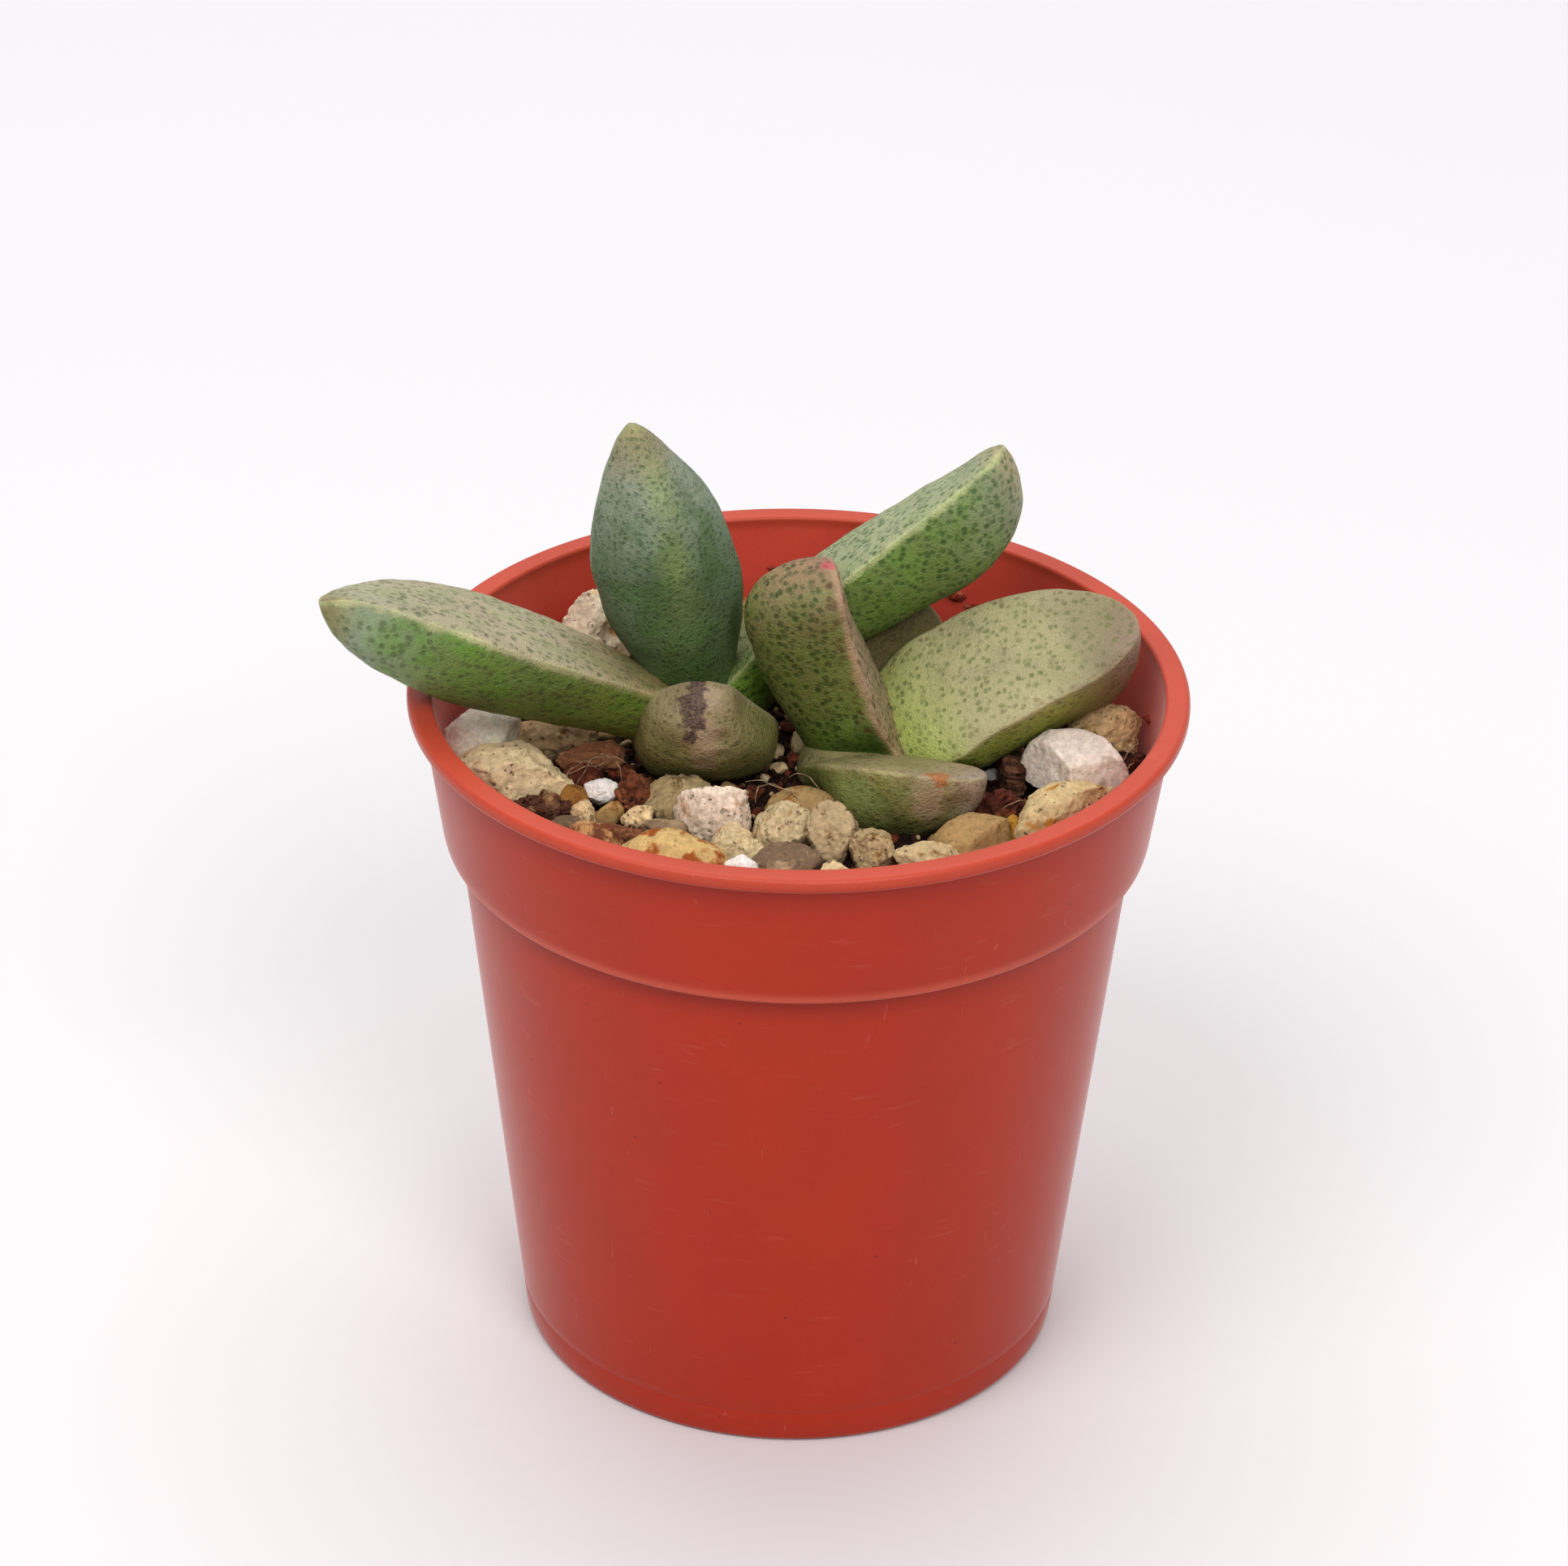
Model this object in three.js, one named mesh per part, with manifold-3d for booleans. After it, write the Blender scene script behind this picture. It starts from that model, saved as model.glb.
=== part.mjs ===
// A young Pleiospilos simulans: two heads of thick, keeled leaves in a small round plastic pot,
// filled with a gritty mix and dressed with loose pumice, perlite and lava stones.
// Millimetres, +Z up, the front of the pot towards -Y. The origin is the centre of the flat underside.

import * as THREE from "three";
import { mergeVertices } from "three/addons/utils/BufferGeometryUtils.js";
import Module from "manifold-3d";

const wasm = await Module();
wasm.setup();

// Driving dimensions

const GAP = 0.3; // clear space kept between two pieces that touch in the real pot
const WELD_DISTANCE = 1e-5; // vertices nearer to each other than this are one
const GOLDEN_ANGLE = Math.PI * (3 - Math.sqrt(5));
const GOLDEN_SHARE = (Math.sqrt(5) - 1) / 2;

const POT = {
  height: 51.4,
  wall: 0.75,
  footRadius: 19.6, // outer radius of the body at the ground
  bodyRadius: 24.0, // outer radius of the body just under the collar
  collarBottom: 40.3, // height of the step where the collar starts
  collarFootRadius: 25.1,
  collarTopRadius: 26.5,
  lipRadius: 27.5,
  lipThickness: 1.1,
  floorTop: 2.2,
  channelHeight: 1.2, // the drained channel under the floor stands this far off the ground
  channelInner: 6.5,
  channelOuter: 16.8,
  channelSlope: 0.8, // how far each side of the channel leans
  edgeRounding: 0.3,
  floorRounding: 0.6,
  drainCount: 6,
  drainRadius: 2.0,
  drainCircle: 11.6,
  drainSegments: 12,
  segments: 44,
};

const MIX = {
  level: 43.4, // height of the mix at its edge
  crown: 0.5, // how much higher it stands in the middle
  relief: 0.45, // height of its humps and hollows
  waves: [
    { alongX: 0.9, alongY: 0.8, phase: 0.5, share: 0.6 },
    { alongX: 1.7, alongY: 1.3, phase: 2.1, share: 0.4 },
  ],
  segments: 36,
  rings: 6,
  gritCount: 36,
  gritRadius: [0.55, 1.05],
  gritReach: 24, // the grit lies within this radius
  gritStandsOut: 0.15, // a grain's centre stands this share of its radius above the surface
  gritSeed: 11,
};

const STEM = {
  radius: 2.3,
  shoulder: 43.6, // the stem stands in the mix up to here and carries the leaves above
  top: 45.0,
  rootTip: 27.0,
  rootTipRadius: 0.7,
  waistShare: 0.62, // its radius halfway down the root
  topShare: 0.8, // its radius at the top
  neck: 2.5, // it keeps its full radius this far under the shoulder
  holeClearance: 0.35,
  segments: 12,
};

const STEM_PLACES = { left_head_stem: [-6.9, 3.3], right_head_stem: [7.2, 0.4] };

const LEAF_AROUND = 14; // facets round a leaf's section
const LEAF_ALONG = 11; // sections from its base to its tip

// The front pair of the right head is united at its base into a sheath round the younger pair.
const SHEATH = { on: "right_head_leaf_front", centre: [4.4, 0.5, 44.3], half: [4.4, 4.3, 3.0], rows: 8 };

// Each leaf follows a spine of four control points from its base to its tip.
// upper: the way its flat upper face looks at the base and at the tip.
// width: half the width across, then how full it is at the base and how soon it fills out.
// keel: the depth from the spine down to the keel, with the same two shares.
// taper: where the width starts to close, and how round the flanks and the tip are.
// keelTaper: the same for the keel. crown: the swell of the upper face, as a share of the half width.
// section: how square the upper and the keel half of the section are, 2 is an ellipse.
const LEAVES = {
  left_head_leaf_front: {
    spine: [[-6.3, 2.8, 46.5], [-6.8, 0.75, 46.2], [-6.2, -1.1, 48.9], [-6.9, -2.5, 52.6]],
    upper: [[-0.13, 0.79, 0.57], [0.04, 0.7, 0.69]],
    width: [5.2, 0.77, 0.38],
    taper: [0.3, 2.3, 2.0],
    keel: [4.0, 0.84, 0.5],
    keelTaper: [0.6, 2.4, 2.2],
    crown: 0.17,
    section: [2.2, 2.9],
    color: "#7d7c62",
  },
  right_head_leaf_front: {
    spine: [[2.2, -1.4, 45.6], [4.2, -3.7, 47.5], [8.0, -5.1, 47.6], [13.1, -7.5, 48.2]],
    upper: [[-0.1, 0.55, 1.03], [-0.04, 0.4, 1.09]],
    width: [4.0, 0.65, 0.39],
    taper: [0.57, 2.3, 1.8],
    keel: [5.2, 0.55, 0.48],
    keelTaper: [0.56, 1.95, 2.15],
    crown: 0.09,
    section: [2.6, 1.9],
    color: "#85826a",
  },
  left_head_leaf_upright: {
    spine: [[-6.9, 4.0, 45.9], [-8.3, 5.8, 54.2], [-10.2, 6.3, 58.2], [-12.1, 5.1, 68.8]],
    upper: [[0.07, 1.0, 0.09], [-0.46, 0.79, 0.0]],
    width: [5.1, 0.49, 0.48],
    taper: [0.62, 1.5, 1.2],
    keel: [5.4, 0.6, 0.37],
    keelTaper: [0.58, 2.1, 1.55],
    crown: 0.22,
    section: [2.25, 1.8],
    color: "#6f8673",
  },
  right_head_leaf_upright: {
    spine: [[7.7, -0.2, 45.5], [4.9, 3.1, 49.0], [1.9, 1.2, 58.3], [2.0, 2.2, 60.1]],
    upper: [[0.85, -0.05, 0.52], [0.97, 0.2, 0.15]],
    width: [4.2, 0.5, 0.25],
    taper: [0.75, 2.2, 1.55],
    keel: [6.8, 0.82, 0.58],
    keelTaper: [0.66, 2.55, 1.75],
    crown: 0.14,
    section: [2.5, 1.75],
    color: "#7c8560",
  },
  right_head_leaf_side: {
    spine: [[7.0, 0.2, 45.6], [8.0, 1.5, 50.5], [19.0, 3.4, 54.9], [23.7, 1.5, 54.4]],
    upper: [[-0.27, -0.42, 0.93], [-0.39, -0.43, 0.82]],
    width: [5.6, 0.7, 0.28],
    taper: [0.45, 1.6, 2.0],
    keel: [6.8, 0.72, 0.33],
    keelTaper: [0.81, 2.6, 2.0],
    crown: 0.1,
    section: [2.8, 2.0],
    color: "#98a06e",
  },
  left_head_leaf_side: {
    spine: [[-6.6, 3.1, 47.6], [-15.3, -1.4, 54.6], [-28.4, -2.5, 60.4], [-32.8, -6.8, 60.6]],
    upper: [[0, 0, 1], [-0.45, -0.04, 0.85]],
    width: [5.1, 0.53, 0.51],
    taper: [0.41, 2.05, 1.3],
    keel: [6.4, 0.65, 0.56],
    keelTaper: [0.49, 1.55, 1.85],
    crown: 0.14,
    section: [2.6, 1.9],
    color: "#8f9470",
  },
  left_head_leaf_long: {
    spine: [[-7.3, 4.6, 47.3], [-0.3, 8.2, 56.3], [9.9, 10.0, 60.3], [14.3, 12.0, 64.3]],
    upper: [[-0.61, -0.12, 0.72], [-0.67, 0.25, 0.61]],
    width: [4.5, 0.62, 0.53],
    taper: [0.88, 2.2, 1.55],
    keel: [6.6, 0.72, 0.69],
    keelTaper: [0.65, 2.05, 1.7],
    crown: 0.12,
    section: [2.8, 1.6],
    color: "#7f9160",
  },
  right_head_leaf_back: {
    spine: [[6.4, 3.5, 46.0], [6.3, 6.5, 49.5], [6.4, 9.5, 51.8], [6.6, 11.5, 52.6]],
    upper: [[0, -0.5, 1], [0, -0.2, 1]],
    width: [4.1, 0.7, 0.4],
    taper: [0.5, 2.2, 1.7],
    keel: [3.8, 0.7, 0.4],
    keelTaper: [0.6, 2.2, 1.8],
    crown: 0.1,
    section: [2.8, 1.7],
    color: "#86796a",
  },
};

// A stone is a block bounded by soft face planes, whose distances are shares of its half size.
const STONE_SHAPE = {
  planes: 13,
  nearest: 0.96,
  spread: 0.24,
  sharpness: 9,
  turnEach: 1.3, // each stone's planes are turned by this much more than the last one's
  mostReach: 1.2, // how far its corners may stand out
  smallHalfSize: 1.3, // below this half size a stone has the fewest faces
};

const STONE_COLORS = {
  perlite: "#e9e4da",
  pumice: "#cdbb92",
  gravel: "#b9955c",
  lava: "#4a2c26",
  bark: "#6a4531",
  slate: "#8f857b",
};

// Loose stones: centre, half sizes along X, Y and Z, and the turn about Z in degrees.
const STONES = {
  perlite_left: [[-22.2, 0.8, 46.0], [2.6, 2.1, 1.6], 20],
  pumice_left: [[-19.8, -4.2, 45.5], [3.6, 2.7, 2.0], 10],
  pumice_under_leaf: [[-17.4, 2.9, 44.8], [2.5, 1.8, 1.3], 0],
  bark_left: [[-14.6, 0.2, 44.8], [2.2, 1.1, 0.9], 12],
  lava_left_middle: [[-11.3, -4.7, 44.9], [1.1, 1.9, 1.4], -12],
  gravel_left_middle: [[-15.7, -5.7, 44.8], [1.0, 1.1, 1.0], 30],
  perlite_small_left: [[-13.7, -5.1, 45.0], [1.05, 1.0, 1.0], 0],
  lava_left_front: [[-17.7, -7.4, 44.8], [1.9, 1.3, 1.0], -10],
  pumice_small_left: [[-14.9, -8.2, 45.0], [1.1, 1.1, 1.05], 25],
  pumice_small_front: [[-11.1, -8.3, 45.0], [1.0, 1.0, 1.0], 15],
  lava_front: [[-12.2, -11.1, 44.7], [1.8, 1.1, 1.0], -15],
  slate_front: [[-9.2, -10.3, 44.8], [1.7, 1.1, 0.9], 10],
  pumice_front_left: [[-13.9, -13.4, 45.8], [1.8, 1.4, 1.3], -20],
  gravel_front_left: [[-8.4, -14.9, 45.5], [3.1, 1.8, 1.5], -8],
  pumice_below_front_leaf: [[-8.1, -5.9, 44.8], [2.4, 1.7, 1.6], 0],
  pumice_blush: [[-5.4, -8.7, 45.3], [2.4, 1.7, 2.1], -15],
  pumice_front_middle: [[-4.1, -12.3, 45.0], [1.6, 1.4, 1.3], 20],
  perlite_front: [[-3.7, -15.9, 45.2], [1.05, 0.9, 1.0], 0],
  pumice_middle: [[-1.0, -10.0, 45.0], [2.1, 1.8, 1.6], 10],
  gravel_middle: [[0.6, -6.7, 44.7], [2.2, 1.5, 1.4], 0],
  pumice_middle_right: [[2.4, -10.7, 45.0], [1.5, 1.9, 1.8], 15],
  slate_middle: [[-0.8, -14.3, 44.8], [2.1, 1.6, 1.1], 5],
  pumice_front_right: [[5.2, -13.0, 45.0], [1.6, 1.5, 1.4], -10],
  pumice_front_far: [[8.9, -14.3, 45.1], [2.2, 1.4, 1.1], 10],
  gravel_right: [[12.3, -11.0, 45.0], [2.5, 1.7, 1.5], 25],
  gravel_ochre: [[15.0, -9.3, 44.9], [0.95, 1.0, 1.1], 0],
  lava_right: [[14.5, -6.4, 44.8], [1.8, 1.6, 1.4], 0],
  bark_right: [[15.3, -1.6, 45.0], [0.8, 1.4, 1.7], 10],
  perlite_right: [[19.3, -2.9, 46.3], [3.0, 2.3, 2.1], -12],
  pumice_right: [[18.6, -8.4, 45.5], [3.3, 2.2, 2.1], 28],
  pumice_right_far: [[21.9, 2.7, 46.2], [2.4, 1.8, 1.8], -15],
  bark_right_far: [[18.6, 3.6, 45.0], [1.7, 1.2, 1.4], 0],
  lava_right_far: [[23.0, -0.9, 44.8], [1.8, 1.5, 1.5], 30],
  pumice_back_left: [[-14.7, 16.6, 46.5], [2.7, 2.0, 2.8], 40],
  gravel_back: [[-4.3, 20.6, 45.2], [1.6, 1.4, 1.8], 0],
};

// The stones behind the plant follow a sunflower spiral, and keep off what already lies there.
const BACK_STONES = {
  names: ["pumice", "lava", "gravel", "perlite", "pumice"],
  firstStep: 30,
  turnEach: 40,
  spread: 1.95,
  leafPlace: [7.3, 9.5], // the back leaf overhangs this place
  minimumY: 7.5,
  maximumRadius: 22.6,
  halfSize: [1.9, 1.6, 1.5],
  clearOfOthers: 3.6,
  height: 44.9,
};

const COLORS = { pot: "#b8543c", mix: "#3a2a20", stem: "#8a8a5a" };
const ROUGHNESS = { pot: 0.5, mix: 1, plant: 0.6, stone: 0.9 };

// Small helpers

const pieces = new Map();

// Only positions are kept, so that vertices shared along a seam or at a pole become one.
function welded(geometry) {
  const bare = geometry.clone();
  bare.deleteAttribute("normal");
  bare.deleteAttribute("uv");
  return mergeVertices(bare, WELD_DISTANCE);
}

function solidOf(geometry) {
  const closed = welded(geometry);
  const vertProperties = closed.getAttribute("position").array;
  const triVerts = new Uint32Array(closed.index.array);
  return new wasm.Manifold(new wasm.Mesh({ numProp: 3, vertProperties, triVerts }));
}

function geometryOf(solid) {
  const mesh = solid.getMesh();
  const geometry = new THREE.BufferGeometry();
  geometry.setAttribute("position", new THREE.BufferAttribute(mesh.vertProperties, 3));
  geometry.setIndex(new THREE.BufferAttribute(mesh.triVerts, 1));
  geometry.computeVertexNormals();
  return geometry;
}

// The same closed surface with every vertex moved out along its normal.
function grown(geometry, distance) {
  const shell = welded(geometry);
  shell.computeVertexNormals();
  const at = shell.getAttribute("position");
  const normal = shell.getAttribute("normal");
  for (let i = 0; i < at.count; i++) {
    at.setXYZ(
      i,
      at.getX(i) + distance * normal.getX(i),
      at.getY(i) + distance * normal.getY(i),
      at.getZ(i) + distance * normal.getZ(i),
    );
  }
  return shell;
}

function joined(solids) {
  return solids.reduce((whole, solid) => whole.add(solid));
}

function largestBody(solid) {
  return solid.decompose().sort((a, b) => b.volume() - a.volume())[0];
}

// A repeatable draw between 0 and 1.
function seededDraw(seed) {
  const [factor, step, range] = [1664525, 1013904223, 2 ** 32];
  let state = seed;
  return () => {
    state = (state * factor + step) % range;
    return state / range;
  };
}

function addPiece(name, solid, color, roughness) {
  const material = new THREE.MeshStandardMaterial({ color, roughness, metalness: 0 });
  const mesh = new THREE.Mesh(geometryOf(solid), material);
  mesh.name = name;
  pieces.set(name, mesh);
}

// A profile of [radius, height] points turned about the upright axis.
function turned(profile, segments) {
  const points = profile.map(([radius, height]) => new THREE.Vector2(radius, height));
  return new THREE.LatheGeometry(points, segments).rotateX(Math.PI / 2);
}

// Pot

function bodyRadiusAt(height) {
  return POT.footRadius + (POT.bodyRadius - POT.footRadius) * (height / POT.collarBottom);
}

function collarRadiusAt(height) {
  const share = (height - POT.collarBottom) / (POT.height - POT.lipThickness - POT.collarBottom);
  return POT.collarFootRadius + (POT.collarTopRadius - POT.collarFootRadius) * share;
}

function potProfile() {
  const lipBottom = POT.height - POT.lipThickness;
  const lipMiddle = POT.height - POT.lipThickness / 2;
  const lipInner = collarRadiusAt(lipBottom) - POT.wall;
  const ledge = POT.collarBottom + POT.wall;
  const edge = POT.edgeRounding;
  const bend = POT.floorRounding;
  return [
    [0, 0],
    [POT.channelInner, 0],
    [POT.channelInner + POT.channelSlope, POT.channelHeight],
    [POT.channelOuter - POT.channelSlope, POT.channelHeight],
    [POT.channelOuter, 0],
    [POT.footRadius - 2 * edge, 0],
    [POT.footRadius - edge / 2, edge],
    [bodyRadiusAt(3 * edge), 3 * edge],
    [POT.bodyRadius, POT.collarBottom],
    [POT.collarFootRadius - edge, POT.collarBottom],
    [collarRadiusAt(POT.collarBottom + edge), POT.collarBottom + edge],
    [collarRadiusAt(lipBottom - edge), lipBottom - edge],
    [POT.lipRadius - edge, lipBottom],
    [POT.lipRadius, lipMiddle - edge / 2],
    [POT.lipRadius, lipMiddle + edge / 2],
    [POT.lipRadius - edge, POT.height - edge / 2],
    [POT.lipRadius - 2 * edge, POT.height],
    [lipInner + edge, POT.height - edge / 2],
    [lipInner, POT.height - 2 * edge],
    [collarRadiusAt(ledge) - POT.wall, ledge],
    [bodyRadiusAt(ledge) - POT.wall, ledge],
    [bodyRadiusAt(POT.floorTop + bend) - POT.wall, POT.floorTop + bend],
    [bodyRadiusAt(POT.floorTop) - POT.wall - bend, POT.floorTop],
    [0, POT.floorTop],
  ];
}

function drainHole(index) {
  const angle = (index / POT.drainCount) * 2 * Math.PI;
  const depth = POT.floorTop * 3;
  const hole = new THREE.CylinderGeometry(POT.drainRadius, POT.drainRadius, depth, POT.drainSegments);
  hole.rotateX(Math.PI / 2);
  hole.translate(POT.drainCircle * Math.cos(angle), POT.drainCircle * Math.sin(angle), 0);
  return solidOf(hole);
}

function makePot() {
  let pot = solidOf(turned(potProfile(), POT.segments));
  for (let i = 0; i < POT.drainCount; i++) pot = pot.subtract(drainHole(i));
  return pot;
}

// The room inside the pot, clear of its walls and floor.
function roomInside() {
  const side = POT.wall + GAP;
  const bottom = POT.floorTop + GAP;
  const bend = POT.floorRounding;
  const ledge = POT.collarBottom + POT.wall + GAP;
  return turned(
    [
      [0, bottom],
      [bodyRadiusAt(bottom) - side - bend, bottom],
      [bodyRadiusAt(bottom + bend) - side, bottom + bend],
      [bodyRadiusAt(ledge) - side, ledge],
      [collarRadiusAt(ledge) - side, ledge],
      [collarRadiusAt(POT.height) - side, POT.height],
      [0, POT.height],
    ],
    POT.segments,
  );
}

// Stems

function makeStem([x, y], clearance) {
  const profile = [
    [0, STEM.rootTip - clearance],
    [STEM.rootTipRadius + clearance, STEM.rootTip - clearance],
    [STEM.radius * STEM.waistShare + clearance, (STEM.rootTip + STEM.shoulder) / 2],
    [STEM.radius + clearance, STEM.shoulder - STEM.neck],
    [STEM.radius + clearance, STEM.shoulder],
    [STEM.radius * STEM.topShare + clearance, STEM.top],
    [0, STEM.top + clearance],
  ];
  return turned(profile, STEM.segments).translate(x, y, 0);
}

// Leaves

function smoothStep(from, to, value) {
  const t = THREE.MathUtils.clamp((value - from) / (to - from), 0, 1);
  return t * t * (3 - 2 * t);
}

function swell([size, startShare, fullAt], [taperFrom, fullness, roundness], t) {
  const rise = startShare + (1 - startShare) * smoothStep(0, fullAt, t);
  const past = THREE.MathUtils.clamp((t - taperFrom) / (1 - taperFrom), 0, 1);
  return size * rise * Math.max(0, 1 - past ** fullness) ** (1 / roundness);
}

function leafSection(leaf, t) {
  const [p0, p1, p2, p3] = leaf.spine.map((point) => new THREE.Vector3(...point));
  const curve = new THREE.CubicBezierCurve3(p0, p1, p2, p3);
  const along = curve.getTangent(t);
  const [upperBase, upperTip] = leaf.upper.map((way) => new THREE.Vector3(...way).normalize());
  const upper = upperBase.lerp(upperTip, t);
  upper.addScaledVector(along, -upper.dot(along)).normalize();
  const across = new THREE.Vector3().crossVectors(along, upper);
  const halfWidth = swell(leaf.width, leaf.taper, t);
  const keelDepth = swell(leaf.keel, leaf.keelTaper, t);
  return { centre: curve.getPoint(t), upper, across, halfWidth, keelDepth };
}

function leafPoint(leaf, section, angle) {
  const raised = Math.sin(angle) >= 0;
  const power = 2 / leaf.section[raised ? 0 : 1];
  const side = Math.sign(Math.cos(angle)) * Math.abs(Math.cos(angle)) ** power;
  const rise = Math.sign(Math.sin(angle)) * Math.abs(Math.sin(angle)) ** power;
  const depth = raised ? leaf.crown * section.halfWidth : section.keelDepth;
  return section.centre
    .clone()
    .addScaledVector(section.across, section.halfWidth * side)
    .addScaledVector(section.upper, depth * rise);
}

// A sphere's rows become the leaf's sections: its first pole closes the base, its last is the tip.
function makeLeaf(leaf) {
  const shape = new THREE.SphereGeometry(1, LEAF_AROUND, LEAF_ALONG + 1);
  const at = shape.getAttribute("position");
  const columns = LEAF_AROUND + 1;
  for (let i = 0; i < at.count; i++) {
    const row = Math.floor(i / columns);
    const step = Math.max(0, row - 1) / LEAF_ALONG;
    const section = leafSection(leaf, (1 - Math.cos(Math.PI * step)) / 2);
    const angle = ((i % columns) / LEAF_AROUND) * 2 * Math.PI;
    const point = row === 0 ? section.centre : leafPoint(leaf, section, angle);
    at.setXYZ(i, point.x, point.y, point.z);
  }
  return shape;
}

function makeSheath() {
  const sheath = new THREE.SphereGeometry(1, LEAF_AROUND, SHEATH.rows).rotateX(Math.PI / 2);
  return sheath.scale(...SHEATH.half).translate(...SHEATH.centre);
}

// Stones

// The distance to the stone's surface in a direction, as a share of its half size.
function stoneReach(direction, index) {
  const { planes, nearest, spread, sharpness, turnEach, mostReach } = STONE_SHAPE;
  let sum = 0;
  for (let k = 0; k < planes; k++) {
    const height = 1 - (2 * k + 1) / planes;
    const flat = Math.sqrt(1 - height * height);
    const turn = GOLDEN_ANGLE * k + turnEach * index;
    const plane = new THREE.Vector3(flat * Math.cos(turn), flat * Math.sin(turn), height);
    const distance = nearest + spread * ((GOLDEN_SHARE * (k + 1) * (index + 1)) % 1);
    sum += Math.max(0, direction.dot(plane) / distance) ** sharpness;
  }
  return Math.min(mostReach, sum ** (-1 / sharpness));
}

function makeStone([centre, half, turn], index) {
  const detail = Math.max(...half) < STONE_SHAPE.smallHalfSize ? 0 : 1;
  const stone = welded(new THREE.IcosahedronGeometry(1, detail));
  const at = stone.getAttribute("position");
  const direction = new THREE.Vector3();
  for (let i = 0; i < at.count; i++) {
    direction.fromBufferAttribute(at, i).normalize();
    direction.multiplyScalar(stoneReach(direction, index));
    at.setXYZ(i, direction.x * half[0], direction.y * half[1], direction.z * half[2]);
  }
  return stone.rotateZ(THREE.MathUtils.degToRad(turn)).translate(...centre);
}

function backStones() {
  const found = {};
  const taken = [...Object.values(STONES).map(([centre]) => centre), BACK_STONES.leafPlace];
  for (let step = BACK_STONES.firstStep; Object.keys(found).length < BACK_STONES.names.length; step++) {
    const angle = step * GOLDEN_ANGLE;
    const radius = BACK_STONES.spread * Math.sqrt(step);
    if (radius > BACK_STONES.maximumRadius) break;
    const [x, y] = [radius * Math.cos(angle), radius * Math.sin(angle)];
    const near = taken.some(([ox, oy]) => Math.hypot(x - ox, y - oy) < BACK_STONES.clearOfOthers);
    if (y < BACK_STONES.minimumY || near) continue;
    const order = Object.keys(found).length;
    taken.push([x, y]);
    const name = `${BACK_STONES.names[order]}_behind_${order + 1}`;
    found[name] = [[x, y, BACK_STONES.height], BACK_STONES.halfSize, step * BACK_STONES.turnEach];
  }
  return found;
}

// Potting mix

// Crossed waves, between -1 and 1.
function mixRelief(x, y) {
  return MIX.waves.reduce(
    (sum, { alongX, alongY, phase, share }) =>
      sum + share * Math.sin(alongX * x + phase) * Math.cos(alongY * y - phase),
    0,
  );
}

function mixHeight(x, y) {
  const edge = POT.collarTopRadius - POT.wall;
  const rise = 1 - (x * x + y * y) / (edge * edge);
  return MIX.level + MIX.crown * rise + MIX.relief * mixRelief(x, y);
}

// A turned block whose top rings are raised into humps and hollows.
function mixBlock() {
  const top = [];
  const radius = POT.collarTopRadius - POT.wall;
  for (let ring = MIX.rings; ring >= 0; ring--) top.push([(radius * ring) / MIX.rings, MIX.level]);
  const block = turned([[0, POT.floorTop], [radius, POT.floorTop], ...top], MIX.segments);
  const at = block.getAttribute("position");
  for (let i = 0; i < at.count; i++) {
    if (at.getZ(i) > POT.collarBottom) at.setZ(i, mixHeight(at.getX(i), at.getY(i)));
  }
  return solidOf(block);
}

function gritSolids() {
  const draw = seededDraw(MIX.gritSeed);
  const [small, large] = MIX.gritRadius;
  const solids = [];
  for (let i = 0; i < MIX.gritCount; i++) {
    const angle = 2 * Math.PI * draw();
    const reach = MIX.gritReach * Math.sqrt(draw());
    const size = small + (large - small) * draw();
    const [x, y] = [reach * Math.cos(angle), reach * Math.sin(angle)];
    const grain = new THREE.IcosahedronGeometry(size, 0);
    grain.rotateX(Math.PI * draw()).rotateZ(Math.PI * draw());
    solids.push(solidOf(grain.translate(x, y, mixHeight(x, y) + MIX.gritStandsOut * size)));
  }
  return solids;
}

// Assembly: what stands in front is whole, and each later piece gives way to the earlier ones.

function assemble() {
  addPiece("pot", makePot(), COLORS.pot, ROUGHNESS.pot);

  const keepClear = [];
  const holes = [];
  for (const [name, place] of Object.entries(STEM_PLACES)) {
    addPiece(name, solidOf(makeStem(place, 0)), COLORS.stem, ROUGHNESS.plant);
    keepClear.push(solidOf(makeStem(place, GAP)));
    holes.push(solidOf(makeStem(place, STEM.holeClearance)));
  }

  for (const [name, leaf] of Object.entries(LEAVES)) {
    const shapes = [makeLeaf(leaf)];
    if (name === SHEATH.on) shapes.push(makeSheath());
    let solid = joined(shapes.map(solidOf));
    for (const other of keepClear) solid = solid.subtract(other);
    addPiece(name, largestBody(solid), leaf.color, ROUGHNESS.plant);
    keepClear.push(joined(shapes.map((shape) => solidOf(grown(shape, GAP)))));
  }

  const room = solidOf(roomInside());
  Object.entries({ ...STONES, ...backStones() }).forEach(([name, stone], index) => {
    const shape = makeStone(stone, index);
    let solid = solidOf(shape).intersect(room);
    for (const other of keepClear) solid = solid.subtract(other);
    addPiece(name, largestBody(solid), STONE_COLORS[name.split("_")[0]], ROUGHNESS.stone);
    keepClear.push(solidOf(grown(shape, GAP)));
  });

  let mix = mixBlock();
  for (const grain of gritSolids()) mix = mix.add(grain);
  mix = mix.intersect(room);
  for (const other of [...holes, ...keepClear]) mix = mix.subtract(other);
  addPiece("potting_mix", largestBody(mix), COLORS.mix, ROUGHNESS.mix);
}

assemble();

const plantInPot = new THREE.Group();
for (const mesh of pieces.values()) plantInPot.add(mesh);

export default plantInPot;
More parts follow.
